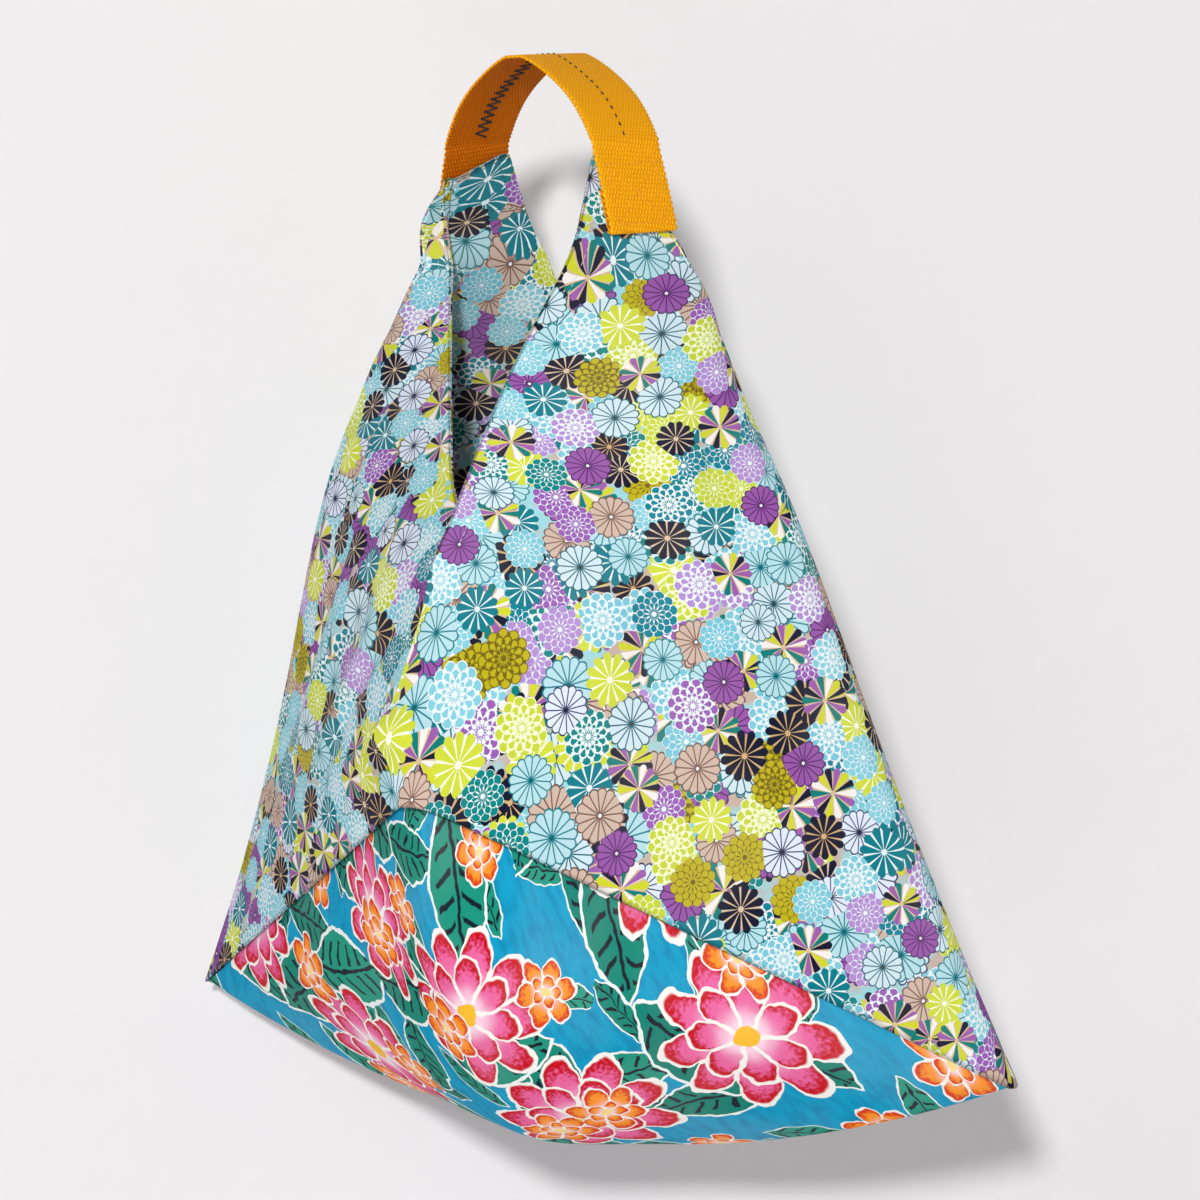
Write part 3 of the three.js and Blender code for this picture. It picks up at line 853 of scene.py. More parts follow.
def draw_ring(shader, cloth, bloom, count, share, tints, under):
    """Paints one ring of pointed petals, pale at the base and dark at the tip, outlined in white."""
    reach = bloom.reach / share
    across, _ = bloom.petals(count, share * RING_TURN)
    spread = abs(across) * 2.0
    rim = 1.0 - spread * spread * PETAL_ROUNDING
    streak = (shader.noise(cloth, STREAK_SCALE, 2.0) - 0.5) * STREAK_SHARE
    petal = shader.mix(shader.step(reach, *PETAL_PALE), PETAL_BASE, tints[0])
    petal = shader.mix(shader.step(reach / rim + streak, *PETAL_TIP), petal, tints[1])
    side = 1.0 - shader.step((1.0 - spread) * reach, *PETAL_SIDE)
    line = shader.larger(side, shader.step(reach - rim, *RIM_EDGE))
    return shader.mix(reach < rim, under, shader.mix(line, petal, PETAL_LINE))


def garden_cotton(name, ground):
    """Turquoise cotton with two-ring blooms and veined leaves."""
    shader = Shader(bpy.data.materials.new(name))
    cloth = shader.cloth()
    brushed = shader.noise(shader.vector("MULTIPLY", cloth, BRUSH_STRETCH), BRUSH_SCALE, 5.0)
    brushed = shader.step(brushed, *BRUSH_EDGE) * BRUSH_SHARE
    colour = shader.mix(brushed, screen_colour(ground), BRUSH_COLOUR)
    tremble = shader.node("ShaderNodeTexNoise", None, {"Vector": cloth, "Scale": WANDER_SCALE, "Detail": 2.0})
    wander = shader.vector("SUBTRACT", tremble.outputs[1], (0.5, 0.5, 0.5))
    brushed_place = shader.vector("ADD", cloth, shader.vector("SCALE", wander, None, WANDER_REACH))

    for spacing, shift, scatter, slimness in LEAF_LAYERS:
        leaf = Blossoms(shader, brushed_place, spacing, shift, scatter, 1.0)
        angle = leaf.chance[0] * FULL_TURN
        cosine, sine = angle.math("COSINE"), angle.sin()
        length = spacing * LEAF_LENGTH
        along = (leaf.x * cosine + leaf.y * sine) / length
        aside = abs(leaf.y * cosine - leaf.x * sine) / (length * slimness)
        edge = 1.0 - along * along - aside
        vein = abs((along * VEIN_PITCH - aside * VEIN_SLOPE).fract() - 0.5)
        veins = (1.0 - shader.step(vein, *VEIN_EDGE)) * (aside < VEIN_REACH[1]) * (aside > VEIN_REACH[0])
        veins = shader.larger(veins, (aside < MIDRIB_WIDTH) * (abs(along) < MIDRIB_REACH))
        green = shader.mix(leaf.chance[1], LEAF_DARK, LEAF_LIGHT)
        painted = shader.mix(edge > LEAF_RIM, LEAF_LINE, shader.mix(veins, green, LEAF_VEIN))
        colour = shader.mix(edge > 0.0, colour, painted)

    for spacing, shift, scatter, radius, rings, tints in GARDEN_BLOOMS:
        bloom = Blossoms(shader, brushed_place, spacing, shift, scatter, radius)
        for count, share in rings:
            colour = draw_ring(shader, cloth, bloom, count, share, tints, colour)
        colour = shader.mix(bloom.reach < BLOOM_MIDDLE, colour, tints[2])
    return cloth_finish(shader, cloth, colour)


# Webbing: yarns by pitch and slant, fuzz, firm edges as shares of the width, and the painted shade over the
# strap's inner face
YARN_PITCH, ROW_PITCH, ROW_SLANT, ROW_ROUNDING = 0.0017, 0.0021, 0.019, 0.7
YARN_EDGE = (0.05, 0.55)
FUZZ_SCALE, FUZZ_SHARE, FUZZ_COLOUR = 1600.0, 0.30, rgb(254, 196, 40)
FIRM_EDGE, FIRM_SHARE, FIRM_COLOUR = (0.44, 0.5), 0.35, rgb(255, 188, 26)
PAINTED_SHADE_EDGE, PAINTED_SHADE_DEEP, PAINTED_SHADE_YARN = (0.55, 0.95), rgb(150, 62, 0), rgb(214, 112, 4)
WEBBING_BUMP, WEBBING_SHEEN, WEBBING_ROUGHNESS = (0.7, 0.0007), 0.08, 0.66


def webbing_finish(name, light, shade, width):
    """Heavy webbing: rows of crossing yarns with painted shade between them, and firm edges."""
    shader = Shader(bpy.data.materials.new(name))
    cloth = shader.cloth()
    u, v, _ = shader.parts(cloth)
    row = v / ROW_PITCH + u / ROW_SLANT
    yarn = u / YARN_PITCH + row.floor() * 0.5
    across = (yarn.fract() - 0.5) * 2.0
    along = (row.fract() - 0.5) * 2.0
    height = (1.0 - across * across) * (1.0 - along * along * ROW_ROUNDING)
    fuzz = shader.noise(cloth, FUZZ_SCALE, 2.0)
    firm = shader.step(abs(u), *[share * width * MM for share in FIRM_EDGE])
    raised = shader.step(height, *YARN_EDGE)
    # Painted shade: the low places between the raised yarns take the darker colour
    colour = shader.mix(raised, screen_colour(shade), screen_colour(light))
    colour = shader.mix(fuzz * FUZZ_SHARE, colour, FUZZ_COLOUR)
    colour = shader.mix(firm * FIRM_SHARE, colour, FIRM_COLOUR)
    # Painted shade: the strap's inner face, marked by the inside attribute, is darkened as if it lay in
    # shadow
    inside = Value(shader, shader.node("ShaderNodeAttribute", {"attribute_name": "inside"}).outputs["Fac"])
    painted_shade = shader.mix(raised, PAINTED_SHADE_DEEP, PAINTED_SHADE_YARN)
    colour = shader.mix(shader.step(inside, *PAINTED_SHADE_EDGE), colour, painted_shade)
    shader.bump(height + fuzz * 0.3, *WEBBING_BUMP)
    shader.surface.inputs["Specular IOR Level"].default_value = WEBBING_SHEEN
    return shader.finish(colour, WEBBING_ROUGHNESS + fuzz * 0.2)


# Thread: twist by scale, bump and tint
TWIST_SCALE, TWIST_BUMP, TWIST_SHARE, TWIST_COLOUR = 1500.0, (0.4, 0.0002), 0.4, rgb(20, 16, 14)


def thread_finish(name, colour):
    shader = Shader(bpy.data.materials.new(name))
    place = shader.node("ShaderNodeTexCoord").outputs["Object"]
    twist = shader.noise(place, TWIST_SCALE, 2.0)
    shader.bump(twist, *TWIST_BUMP)
    tint = shader.mix(twist * TWIST_SHARE, screen_colour(colour), TWIST_COLOUR)
    return shader.finish(tint, 0.55 + twist * 0.2)


def plain_finish(name, colour):
    shader = Shader(bpy.data.materials.new(name))
    place = shader.node("ShaderNodeTexCoord").outputs["Object"]
    speck = shader.noise(place, 3.0, 2.0)
    shader.surface.inputs["Specular IOR Level"].default_value = 0.1
    shader.finish(screen_colour(colour), 0.9 + speck * 0.05)
    return shader


# Sewing: short stitches set along a line
def stitch_tree(name, material):
    """Geometry nodes that lay stitches of a set length, pitch and thickness along a curve."""
    tree = bpy.data.node_groups.new(name, "GeometryNodeTree")
    tree.interface.new_socket("Geometry", in_out="INPUT", socket_type="NodeSocketGeometry")
    for label, size in (("Pitch", 0.003), ("Stitch Length", 0.0024), ("Thickness", 0.0005)):
        socket = tree.interface.new_socket(label, in_out="INPUT", socket_type="NodeSocketFloat")
        socket.default_value = size
    tree.interface.new_socket("Geometry", in_out="OUTPUT", socket_type="NodeSocketGeometry")
    sewing = Nodes(tree)
    given = sewing.node("NodeGroupInput").outputs
    points = sewing.node(
        "GeometryNodeResampleCurve", {"mode": "LENGTH"},
        {"Curve": given["Geometry"], "Length": given["Pitch"]})
    ball = sewing.node("GeometryNodeMeshUVSphere", None, {"Segments": 8, "Rings": 6, "Radius": 0.5})
    shape = sewing.node(
        "ShaderNodeCombineXYZ", None,
        {"X": given["Stitch Length"], "Y": given["Thickness"], "Z": given["Thickness"]})
    tangent = sewing.node("GeometryNodeInputTangent")
    aim = sewing.node("FunctionNodeAlignRotationToVector", {"axis": "X"}, {"Vector": tangent.outputs[0]})
    placed = sewing.node("GeometryNodeInstanceOnPoints", None, {
        "Points": points.outputs["Curve"], "Instance": ball.outputs["Mesh"],
        "Rotation": aim.outputs[0], "Scale": shape.outputs[0]})
    real = sewing.node("GeometryNodeRealizeInstances", None, {"Geometry": placed.outputs["Instances"]})
    painted = sewing.node(
        "GeometryNodeSetMaterial", None, {"Geometry": real.outputs["Geometry"], "Material": material})
    sewing.node("NodeGroupOutput", None, {"Geometry": painted.outputs["Geometry"]})
    return tree


def stitches(pitch, length, thickness):
    return {"Pitch": pitch, "Stitch Length": length, "Thickness": thickness}


def sew(name, lines, tree, sizes):
    """A plain mesh of the stitches along the given lines, in millimetres."""
    curve = bpy.data.curves.new(name, "CURVE")
    curve.dimensions = "3D"
    for line in lines:
        spline = curve.splines.new("POLY")
        spline.points.add(len(line) - 1)
        for point, place in zip(spline.points, np.asarray(line) * MM):
            point.co = (*place, 1.0)
    path = bpy.data.objects.new(name + "_path", curve)
    bpy.context.scene.collection.objects.link(path)
    modifier = path.modifiers.new("stitches", "NODES")
    modifier.node_group = tree
    for item in tree.interface.items_tree:
        if item.in_out == "INPUT" and item.name in sizes:
            modifier[item.identifier] = sizes[item.name]
    graph = bpy.context.evaluated_depsgraph_get()
    mesh = bpy.data.meshes.new_from_object(path.evaluated_get(graph))
    mesh.name = name
    mesh.shade_smooth()
    bpy.data.objects.remove(path)
    bpy.data.curves.remove(curve)
    piece = bpy.data.objects.new(name, mesh)
    bpy.context.scene.collection.objects.link(piece)
    return piece


# What a user would change
class BagSizes(bpy.types.PropertyGroup):
    """Sizes of the prints, the hems and the sewing"""

    blossom: FloatProperty(
        name="Blossom spacing", description="Distance between the middles of the printed blossoms",
        default=0.0207, unit="LENGTH")
    hem: FloatProperty(
        name="Hem", description="Distance of the sewn line from the mouth's edge",
        default=0.008, unit="LENGTH")
    hem_swell: FloatProperty(
        name="Hem swell", description="Extra thickness of the turned edge", default=0.0006, unit="LENGTH")
    stitch: FloatProperty(
        name="Stitch length", description="Length of one stitch", default=0.0026, unit="LENGTH")
    thread: FloatProperty(
        name="Thread", description="Thickness of the sewing thread", default=0.00045, unit="LENGTH")
    webbing: FloatProperty(
        name="Webbing width", description="Width of the strap", default=0.038, unit="LENGTH")


class BagColours(bpy.types.PropertyGroup):
    """Colours of the cloth, the strap, the thread and the stage, in screen values"""

    ground: FloatVectorProperty(
        name="Print ground", description="Colour between the printed blossoms", subtype="COLOR_GAMMA",
        default=(0.60, 0.82, 0.85))
    base: FloatVectorProperty(
        name="Base ground", description="Ground colour of the base's print", subtype="COLOR_GAMMA",
        default=(0.0, 0.62, 0.78))
    webbing: FloatVectorProperty(
        name="Webbing", description="Colour of the strap's yarns", subtype="COLOR_GAMMA",
        default=(1.0, 0.69, 0.02))
    # Painted shade between the strap's yarns
    webbing_shade: FloatVectorProperty(
        name="Webbing shade", description="Colour between the strap's yarns", subtype="COLOR_GAMMA",
        default=(0.86, 0.45, 0.0))
    thread: FloatVectorProperty(
        name="Hem thread", description="Colour of the thread in the hems", subtype="COLOR_GAMMA",
        default=(0.88, 0.92, 0.92))
    dark_thread: FloatVectorProperty(
        name="Dark thread", description="Colour of the thread on the strap and inside the tips",
        subtype="COLOR_GAMMA", default=(0.09, 0.08, 0.09))
    backdrop: FloatVectorProperty(
        name="Backdrop", description="Colour of the floor and the backdrop", subtype="COLOR_GAMMA",
        default=(0.929, 0.922, 0.925))


# Edges of the panels: the hem's swell in hems, the lining's closing in millimetres, and the mouth's start
HEM_EDGE, CLOSE_EDGE, OPEN_FADE = (0.6, 1.1), (0.5, 5.0), 0.05


def panel_levels(start):
    return np.linspace(start, 1.0, PANEL_ROWS)


def make_panel(turned, lining, sizes):
    """One upper panel or its lining, as a shell of cloth."""
    levels = panel_levels(LINING_START if lining else 0.0)
    grid, cloth, across = panel_grid(levels, LEFT_FLARE if turned else RIGHT_FLARE)
    relief = panel_relief(levels, cloth, across)
    if turned:
        grid = grid * HALF_TURN
    grid = swayed(grid)
    columns = grid.shape[1]
    side = np.abs(np.linspace(-1, 1, columns))
    lap = np.sign(np.linspace(-1, 1, columns)) * side ** 2
    fade = fade_from(levels, CROSSING_T + WRAP_FADE)[:, None]
    steps = np.linalg.norm(np.diff(grid, axis=1), axis=2)
    arc = np.concatenate([np.zeros((len(grid), 1)), np.cumsum(steps, axis=1)], axis=1)
    inward = np.minimum(arc, arc[:, -1:] - arc)
    open_edge = smoothstep(levels, CROSSING_T - OPEN_FADE, CROSSING_T + OPEN_FADE)[:, None]
    hem = (1 - smoothstep(inward, *[share * sizes.hem / MM for share in HEM_EDGE])) * open_edge
    thickness = (LINING_THICKNESS if lining else CLOTH_THICKNESS) + hem * sizes.hem_swell / MM * 0.5
    touch = (CLOTH_THICKNESS + LINING_THICKNESS) / 2
    close = (1 - smoothstep(inward, *CLOSE_EDGE)) * open_edge
    inset = touch + LAYER_GAP * (1 - close) if lining else 0.0
    offset = -LAP_OFFSET * lap * fade - inset + relief
    return ClothShell(grid, cloth, offset, thickness)


# Folds of the base's front, in cloth millimetres; the back has the same ones turned half round
FRONT_FOLDS = (
    ((20, -230), (60, -60), 20, 3.0),
    ((-30, -236), (-110, -90), 18, -3.0),
    ((60, -200), (170, -60), 22, 3.0),
    ((-80, -190), (-190, -40), 16, 3.5),
)
BASE_FOLDS = [
    (np.multiply(start, turn), np.multiply(end, turn), width, height)
    for turn in (1, -1) for start, end, width, height in FRONT_FOLDS
]
BASE_CALM, BASE_SETTLE = (0.80, 0.97), (0.0, 0.12)


def base_shell(start, inset, tuck, thickness):
    """The base bowl or its lining, from the middle of the bottom to the margin under the panels."""
    rim = seam_loop(0.0, HALF_COLUMNS)
    share = np.sin(np.linspace(0, np.pi / 2, BOWL_ROWS + 1)[1:])[:, None]
    corner = (np.abs(rim[:, 0]) / CORNER_REACH) ** 2
    curved = 1 - np.sqrt(np.maximum(1 - share ** 2, 0))
    straight = share ** BOTTOM_CORNER_SWELL
    z = lerp(drop(BOTTOM_DROP), rim[:, 2], lerp(curved, straight, corner))
    bowl = np.stack([rim[:, 0] * share, rim[:, 1] * share, z], axis=2)
    margin = [seam_loop(start * (k + 1) / MARGIN_ROWS, HALF_COLUMNS) for k in range(MARGIN_ROWS)]
    grid = np.concatenate([bowl, margin])
    pull = tuck * (np.abs(grid[..., 0]) / CORNER_REACH) ** CORNER_TUCK_SHARPNESS
    grid[..., 0] -= np.sign(grid[..., 0]) * pull
    middle = np.zeros_like(grid[:1]) + np.array([0.0, 0.0, drop(BOTTOM_DROP)])
    steps = np.linalg.norm(np.diff(np.concatenate([middle, grid]), axis=0), axis=2)
    reach = np.cumsum(steps, axis=0)
    heading = np.arctan2(rim[:, 1], rim[:, 0])
    cloth = np.stack([reach * np.cos(heading), reach * np.sin(heading)], axis=2)
    grid = swayed(grid)
    crease = (np.abs(rim[:, 1]) / APEX_DEPTH) ** 2
    climb = np.arange(len(grid)) / (BOWL_ROWS - 1)
    folds = fold_height(cloth, BASE_FOLDS) * (1 - smoothstep(climb, *BASE_CALM))[:, None]
    settle = smoothstep(climb, *BASE_SETTLE)[:, None]
    offset = -inset - (LAP_OFFSET + LAYER_GAP) * crease * settle + folds
    bottom = drop(BOTTOM_DROP) + inset
    pole = [(0.0, 0.0, bottom - thickness / 2), (0.0, 0.0, bottom + thickness / 2)]
    return ClothShell(grid, cloth, offset, thickness, closed=True, pole=pole)


def hang(piece, node):
    """Bakes a cloth piece's placement into its mesh and hides the solid of its node, if one is given."""
    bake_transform(piece)
    if node:
        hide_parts(node)
    return piece


# Sewing of the panels: rows at the tips, start of the hems above the crossing, spacing and finer thread
TIP_ROWS = (-2, -13)
HEM_START = 0.04
HEM_SPACING, FINE_THREAD = 1.4, 0.7


def tip_lines(shell):
    """Two rows of sewing just under the tip's upper edge, on the inner face."""
    inner = shell.points[1]
    return [inner[row, EDGE_COLUMNS // 2:-EDGE_COLUMNS // 2] for row in TIP_ROWS]


def hem_lines(face, start, sizes):
    """Lines a hem's width from the two mouth edges, on one face of a panel whose rows begin at a level."""
    lines = []
    for columns in (slice(None), slice(None, None, -1)):
        line = []
        for t, row in zip(panel_levels(start), face[:, columns]):
            if t < CROSSING_T + HEM_START:
                continue
            arc = path_lengths(row)
            line.append([np.interp(sizes.hem / MM, arc, row[:, k]) for k in range(3)])
        lines.append(line)
    return lines


class LUNCHBAG_OT_panels(bpy.types.Operator):
    """Make the printed upper panels, their linings and the sewing along their edges"""

    bl_idname = "lunchbag.panels"
    bl_label = "Upper Panels"

    def execute(self, context):
        sizes, colours = context.scene.lunchbag_sizes, context.scene.lunchbag_colours
        outer = blossom_cotton("blossom_cotton", colours.ground, sizes.blossom, 0.0)
        inner = blossom_cotton("blossom_cotton_lining", colours.ground, sizes.blossom, 0.613)
        thread = thread_finish("hem_thread", colours.thread)
        rows = stitch_tree("hem_stitches", thread)
        dark_rows = stitch_tree("tip_stitches", thread_finish("tip_thread", colours.dark_thread))
        pitch = sizes.stitch * HEM_SPACING
        spacing = stitches(pitch, sizes.stitch, sizes.thread)
        fine = stitches(pitch, sizes.stitch, sizes.thread * FINE_THREAD)
        for side, turned in (("right", False), ("left", True)):
            shell = make_panel(turned, False, sizes)
            panel = dress(shell.build(f"printed_panel_{side}"), outer)
            hem = sew(f"hem_stitches_{side}", hem_lines(shell.points[0], 0.0, sizes), rows, fine)
            hang(hem, None)
            hang(panel, f"panel_{side}")
            backing = make_panel(turned, True, sizes)
            lining = dress(backing.build(f"panel_lining_{side}"), inner)
            edge_lines = tip_lines(backing) + hem_lines(backing.points[1], LINING_START, sizes)
            edge = sew(f"tip_stitches_{side}", edge_lines, dark_rows, spacing)
            hang(edge, None)
            hang(lining, f"lining_{side}")
        return {"FINISHED"}


class LUNCHBAG_OT_base(bpy.types.Operator):
    """Make the deep printed base and its lining"""

    bl_idname = "lunchbag.base"
    bl_label = "Base"

    def execute(self, context):
        sizes, colours = context.scene.lunchbag_sizes, context.scene.lunchbag_colours
        lining_inset = (CLOTH_THICKNESS + LINING_THICKNESS) / 2 + LAYER_GAP
        inset = CLOTH_THICKNESS + 2 * LAYER_GAP
        outer = base_shell(SEAM_MARGIN / APEX_DROP, inset, 0.0, CLOTH_THICKNESS)
        base = dress(outer.build("printed_base"), garden_cotton("garden_cotton", colours.base))
        hang(base, "base_panel")
        backing = base_shell(
            (LINING_RAISE + SEAM_MARGIN) / APEX_DROP, inset + lining_inset + LAYER_GAP,
            LINING_CORNER_TUCK, LINING_THICKNESS)
        cotton = blossom_cotton("blossom_cotton_base_lining", colours.ground, sizes.blossom, 0.287)
        hang(dress(backing.build("base_lining"), cotton), "lining_base")
        return {"FINISHED"}


# Strap, in millimetres: its two layers at the tips, its tucked end, its mesh and its nicked edge
UNDER_REACH = TIP_REACH + CLOTH_THICKNESS / 2 + SEAT_GAP + STRAP_THICKNESS / 2
OUTER_REACH = UNDER_REACH + STRAP_THICKNESS + STRAP_FOLD_GAP
STRAP_UNDER_LENGTH = 20.0
ARCH_STEPS = 40
TURN_STEPS = 8
STRAP_STEP = 0.65
SELVAGE_PITCH = 2.8
SELVAGE_DEPTH = 0.42
SELVAGE_BAND = 2.0
WEB_COLUMNS = 14
EDGE_POINTS = 4


def strap_line():
    """Centre line of the whole strap in its own plane, from one tucked end to the other."""
    radius = (OUTER_REACH - UNDER_REACH) / 2
    lap_bottom = drop(STRAP_LAP) + radius
    half = [(UNDER_REACH, drop(STRAP_LAP) + STRAP_UNDER_LENGTH)]
    for angle in np.linspace(math.pi, 2 * math.pi, TURN_STEPS + 1):
        half.append((UNDER_REACH + radius + radius * math.cos(angle), lap_bottom + radius * math.sin(angle)))
    arch_start = TIP_Z + ARCH_START_ABOVE_TIP
    rest = STRAP_REST_LENGTH / 2
    power = 2 / STRAP_ARCH_SQUARENESS
    for angle in np.linspace(0, math.pi / 2, ARCH_STEPS + 1):
        x = rest + (OUTER_REACH - rest) * max(math.cos(angle), 0.0) ** power
        half.append((x, arch_start + (STRAP_THICKNESS / 2 - arch_start) * math.sin(angle) ** power))
    half = np.array(half)
    return np.vstack([half, (half * [-1, 1])[::-1]])


class StrapPath:
    """Even steps along the strap, with the direction out of its face."""

    def __init__(self):
        line = strap_line()
        lengths = path_lengths(line)
        self.length = lengths[-1]
        self.stops = np.linspace(0, self.length, int(self.length / STRAP_STEP))
        self.line = np.stack([np.interp(self.stops, lengths, line[:, k]) for k in range(2)], axis=1)
        slope = np.gradient(self.line, axis=0)
        slope /= np.linalg.norm(slope, axis=1, keepdims=True)
        self.out = np.stack([slope[:, 1], -slope[:, 0]], axis=1)

    def place(self, stop, aside, height):
        """A point at a distance along the strap, aside from its middle, and above its centre line."""
        x, z = (np.interp(stop, self.stops, self.line[:, k]) for k in range(2))
        out_x, out_z = (np.interp(stop, self.stops, self.out[:, k]) for k in range(2))
        level = ACROSS * (x + out_x * height) + ALONG * aside
        return leaned(level + np.array([0.0, 0.0, z + out_z * height]))


def strap_piece(path, width):
    """The webbing, with rounded firm edges that are nicked by the returning weft."""
    half, thick = width / 2, STRAP_THICKNESS / 2
    flat = np.linspace(-half + thick, half - thick, WEB_COLUMNS)
    bend = np.linspace(-math.pi / 2, math.pi / 2, EDGE_POINTS + 2)[1:-1]
    section = [(a, thick) for a in flat[::-1]]
    section += [(-half + thick - thick * math.cos(b), -thick * math.sin(b)) for b in bend]
    section += [(a, -thick) for a in flat]
    section += [(half - thick + thick * math.cos(b), thick * math.sin(b)) for b in bend]
    section = np.array(section)
    nick = SELVAGE_DEPTH * np.cos(FULL_TURN * path.stops / SELVAGE_PITCH)
    edge = np.clip((np.abs(section[:, 0]) - half) / SELVAGE_BAND + 1, 0, 1)
    aside = section[:, 0] + np.sign(section[:, 0]) * edge * nick[:, None]
    height = section[:, 1] * np.ones_like(aside)
    flat_x = path.line[:, :1] + path.out[:, :1] * height
    flat_z = path.line[:, 1:] + path.out[:, 1:] * height
    points = flat_x[..., None] * ACROSS + aside[..., None] * ALONG
    points[..., 2] += flat_z
    cloth = np.stack([aside, path.stops[:, None] * np.ones_like(aside)], axis=2) * MM
    rows, columns = aside.shape
    faces = grid_faces(rows, columns, True).tolist()
    faces.append(list(range(columns))[::-1])
    faces.append([(rows - 1) * columns + k for k in range(columns)])
    strap = mesh_piece("webbing_strap", leaned(points).reshape(-1, 3) * MM, faces, cloth.reshape(-1, 2))
    # Marks the strap's inner face, which its finish darkens with painted shade
    inside = np.clip(0.5 - section[:, 1] / STRAP_THICKNESS, 0, 1) * np.ones_like(aside)
    layer = strap.data.attributes.new("inside", "FLOAT", "POINT")
    layer.data.foreach_set("value", inside.astype(np.float32).ravel())
    return strap


# Sewing on the strap, in millimetres
BOX_STITCH = 28.0
SEAM_STEPS = 12
ZIGZAG_PITCH = 6.0
ZIGZAG_WIDTH = 6.5
ROW_START = STRAP_UNDER_LENGTH + STRAP_LAP + 12.0
STITCH_LIFT = STRAP_THICKNESS / 2 + 0.1
BOX_SPACING, BOX_THREAD, ROW_THREAD = 1.15, 1.4, 2.4


def box_lines(sign):
    """A sewn square with both diagonals on the outer face of one strap end."""
    half = BOX_STITCH / 2
    reach = (OUTER_REACH + STITCH_LIFT) * sign
    middle = drop(STRAP_LAP / 2)

    def at(aside, up):
        return ACROSS * reach + ALONG * aside + np.array([0.0, 0.0, middle + up])

    square = [at(-half, -half), at(half, -half), at(half, half), at(-half, half), at(-half, -half)]
    seams = [*zip(square, square[1:]), (square[0], square[2]), (square[1], square[3])]
    shares = np.linspace(0, 1, SEAM_STEPS)[:, None]
    return [leaned(lerp(start, end, shares)) for start, end in seams]


def zigzag_line(path):
    """A plain even zigzag along the inside of the strap."""
    stops = np.arange(ROW_START, path.length - ROW_START, ZIGZAG_PITCH / 2)
    return [
        path.place(stop, ZIGZAG_WIDTH * (0.5 if k % 2 else -0.5), -STITCH_LIFT)
        for k, stop in enumerate(stops)
    ]


def running_line(path):
    """A plain straight row along the outside of the strap."""
    stops = np.arange(ROW_START, path.length - ROW_START, STRAP_STEP * 4)
    return [path.place(stop, 0.0, STITCH_LIFT) for stop in stops]


class LUNCHBAG_OT_strap(bpy.types.Operator):
    """Make the webbing strap, the box stitch on its ends and the plain sewn row along it"""

    bl_idname = "lunchbag.strap"
    bl_label = "Strap"

    def execute(self, context):
        sizes, colours = context.scene.lunchbag_sizes, context.scene.lunchbag_colours
        width = sizes.webbing / MM
        path = StrapPath()
        strap = dress(
            strap_piece(path, width),
            webbing_finish("webbing", colours.webbing, colours.webbing_shade, width))
        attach(strap, "strap")
        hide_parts("strap_webbing")
        spacing = stitches(sizes.stitch * BOX_SPACING, sizes.stitch, sizes.thread * BOX_THREAD)
        tree = stitch_tree("box_stitches", thread_finish("strap_thread", colours.webbing))
        for side, sign in (("right", 1.0), ("left", -1.0)):
            box = sew(f"box_stitch_{side}", box_lines(sign), tree, spacing)
            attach(box, "strap")
            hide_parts(f"strap_stitch_{side}")
        dark = stitch_tree("dark_stitches", thread_finish("dark_thread", colours.dark_thread))
        thick = sizes.thread * ROW_THREAD
        cord = stitches(thick * 0.8, thick * 1.6, thick)
        dashes = stitches(sizes.stitch * 2.0, sizes.stitch * 1.1, thick * 0.8)
        for name, line, sewing in (
            ("strap_zigzag", zigzag_line(path), cord), ("strap_dashes", running_line(path), dashes),
        ):
            row = sew(name, [line], dark, sewing)
            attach(row, "strap")
        return {"FINISHED"}


# Stage, in metres and degrees
CAMERA_ANGLES = (29.87, 9.15, -2.11)
CAMERA_TARGET = (0.01986, 0.0, -0.27114)
CAMERA_DISTANCE = 1.58073
CAMERA_LENS = 93.76
BACKDROP_DISTANCE = 0.19
FLOOR_Z = -0.75
FLOOR_FADE = (0.7, 2.0)
WORLD_STRENGTH = 0.25
BACKDROP_HALF = 2.4
FLOOR_HALF = 8.0
SENSOR_WIDTH = 36.0

# Lamps: name, place as (right, up, towards the camera) from the target, size and power
LAMPS = (
    ("front_lamp", (-0.24, 0.52, 2.4), 0.22, 39.0),
    ("key_lamp", (-1.10, 1.10, 1.5), 1.0, 4.0),
    ("fill_lamp", (1.3, 0.2, 1.4), 1.2, 2.5),
    ("back_lamp", (-0.5, 0.8, -2.0), 1.2, 30.0),
)


def stage_sheet(name, middle, right, up, half):
    corners = [middle + right * a * half + up * b * half for a, b in ((-1, -1), (1, -1), (1, 1), (-1, 1))]
    return mesh_piece(name, np.array([list(c) for c in corners]), [[0, 1, 2, 3]])


def pale_world(colour):
    """A weak even light that looks as pale as the backdrop where it is seen."""
    shader = Shader(bpy.data.worlds.new("world"))
    background = shader.tree.nodes["Background"]
    shader.feed(background.inputs["Color"], colour)
    strength = WORLD_STRENGTH + (1.0 - WORLD_STRENGTH) * shader.seen_directly()
    shader.feed(background.inputs["Strength"], strength)
    return shader.owner


def clear_from_behind(shader):
    """Lets other views look through the back of the backdrop."""
    facing = shader.node("ShaderNodeNewGeometry").outputs["Backfacing"]
    shader.blend(facing, shader.node("ShaderNodeBsdfTransparent"))


def pale_far_off(shader, colour):
    """Keeps the floor as pale as the backdrop far from the bag and its shadow."""
    x, y, _ = shader.parts(shader.node("ShaderNodeTexCoord").outputs["Object"])
    away = shader.step((x * x + y * y).math("SQRT"), *FLOOR_FADE)
    glow = shader.node("ShaderNodeEmission", None, {"Color": colour})
    shader.blend(away * shader.seen_directly(), glow)


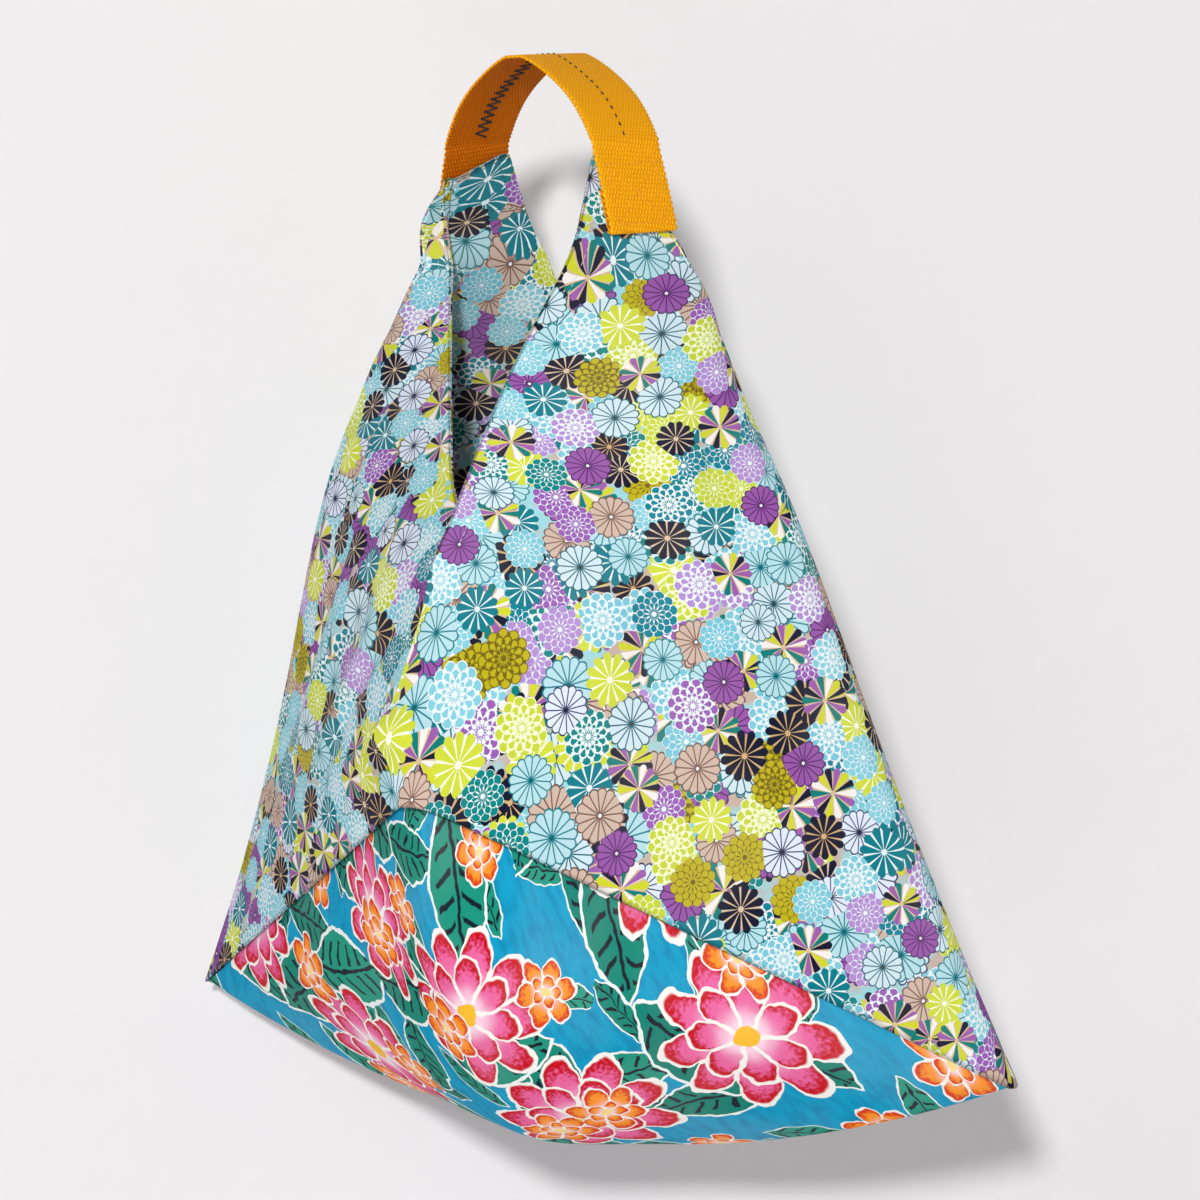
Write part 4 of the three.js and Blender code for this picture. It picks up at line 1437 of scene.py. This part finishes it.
class LUNCHBAG_OT_stage(bpy.types.Operator):
    """Make the floor, the backdrop, the lamps and the camera"""

    bl_idname = "lunchbag.stage"
    bl_label = "Stage"

    def execute(self, context):
        colours = context.scene.lunchbag_colours
        scene = context.scene
        scene.view_settings.view_transform = "Standard"
        azimuth, elevation, roll = (math.radians(a) for a in CAMERA_ANGLES)
        back = Vector((
            math.sin(azimuth) * math.cos(elevation), -math.cos(azimuth) * math.cos(elevation),
            math.sin(elevation)))
        right = Vector((math.cos(azimuth), math.sin(azimuth), 0.0))
        up = back.cross(right)
        turned_right = math.cos(roll) * right + math.sin(roll) * up
        turned_up = math.cos(roll) * up - math.sin(roll) * right
        target = Vector(CAMERA_TARGET)
        camera = bpy.data.objects.new("camera", bpy.data.cameras.new("camera"))
        scene.collection.objects.link(camera)
        pose = Matrix((turned_right, turned_up, back)).transposed().to_4x4()
        pose.translation = target + back * CAMERA_DISTANCE
        camera.matrix_world = pose
        camera.data.lens = CAMERA_LENS
        camera.data.sensor_width = SENSOR_WIDTH
        scene.camera = camera

        wall = stage_sheet("backdrop", target - back * BACKDROP_DISTANCE, right, up, BACKDROP_HALF)
        wall.visible_shadow = False
        floor_middle = Vector((0, 0, FLOOR_Z))
        floor = stage_sheet("floor", floor_middle, Vector((1, 0, 0)), Vector((0, 1, 0)), FLOOR_HALF)
        wall_finish = plain_finish("backdrop", colours.backdrop)
        clear_from_behind(wall_finish)
        floor_finish = plain_finish("floor", colours.backdrop)
        pale_far_off(floor_finish, screen_colour(colours.backdrop))
        for sheet, finish in ((wall, wall_finish), (floor, floor_finish)):
            dress(sheet, finish.owner)

        for name, place, size, power in LAMPS:
            data = bpy.data.lights.new(name, "AREA")
            data.shape = "DISK"
            data.size = size
            data.energy = power
            lamp = bpy.data.objects.new(name, data)
            scene.collection.objects.link(lamp)
            lamp.location = target + right * place[0] + up * place[1] + back * place[2]
            lamp.rotation_mode = "QUATERNION"
            lamp.rotation_quaternion = (target - lamp.location).to_track_quat("-Z", "Y")
        scene.world = pale_world(screen_colour(colours.backdrop))
        return {"FINISHED"}


class LUNCHBAG_PT_sidebar(bpy.types.Panel):
    """Lists the bag's pieces and sizes in the sidebar"""

    bl_label = "Lunch Bag"
    bl_idname = "LUNCHBAG_PT_sidebar"
    bl_space_type = "VIEW_3D"
    bl_region_type = "UI"
    bl_category = "Lunch Bag"

    def draw(self, context):
        for settings in (context.scene.lunchbag_sizes, context.scene.lunchbag_colours):
            for key in settings.bl_rna.properties.keys():
                if key not in ("rna_type", "name"):
                    self.layout.prop(settings, key)
        for piece in PIECES:
            self.layout.operator(piece.bl_idname)


PIECES = (LUNCHBAG_OT_stage, LUNCHBAG_OT_strap, LUNCHBAG_OT_panels, LUNCHBAG_OT_base)
CLASSES = (BagSizes, BagColours, *PIECES, LUNCHBAG_PT_sidebar)


def register():
    for item in CLASSES:
        bpy.utils.register_class(item)
    bpy.types.Scene.lunchbag_sizes = PointerProperty(type=BagSizes)
    bpy.types.Scene.lunchbag_colours = PointerProperty(type=BagColours)


def unregister():
    del bpy.types.Scene.lunchbag_colours
    del bpy.types.Scene.lunchbag_sizes
    for item in reversed(CLASSES):
        bpy.utils.unregister_class(item)


def main():
    register()
    bpy.ops.lunchbag.stage()
    bpy.ops.lunchbag.strap()
    bpy.ops.lunchbag.panels()
    bpy.ops.lunchbag.base()


if __name__ == "__main__":
    main()
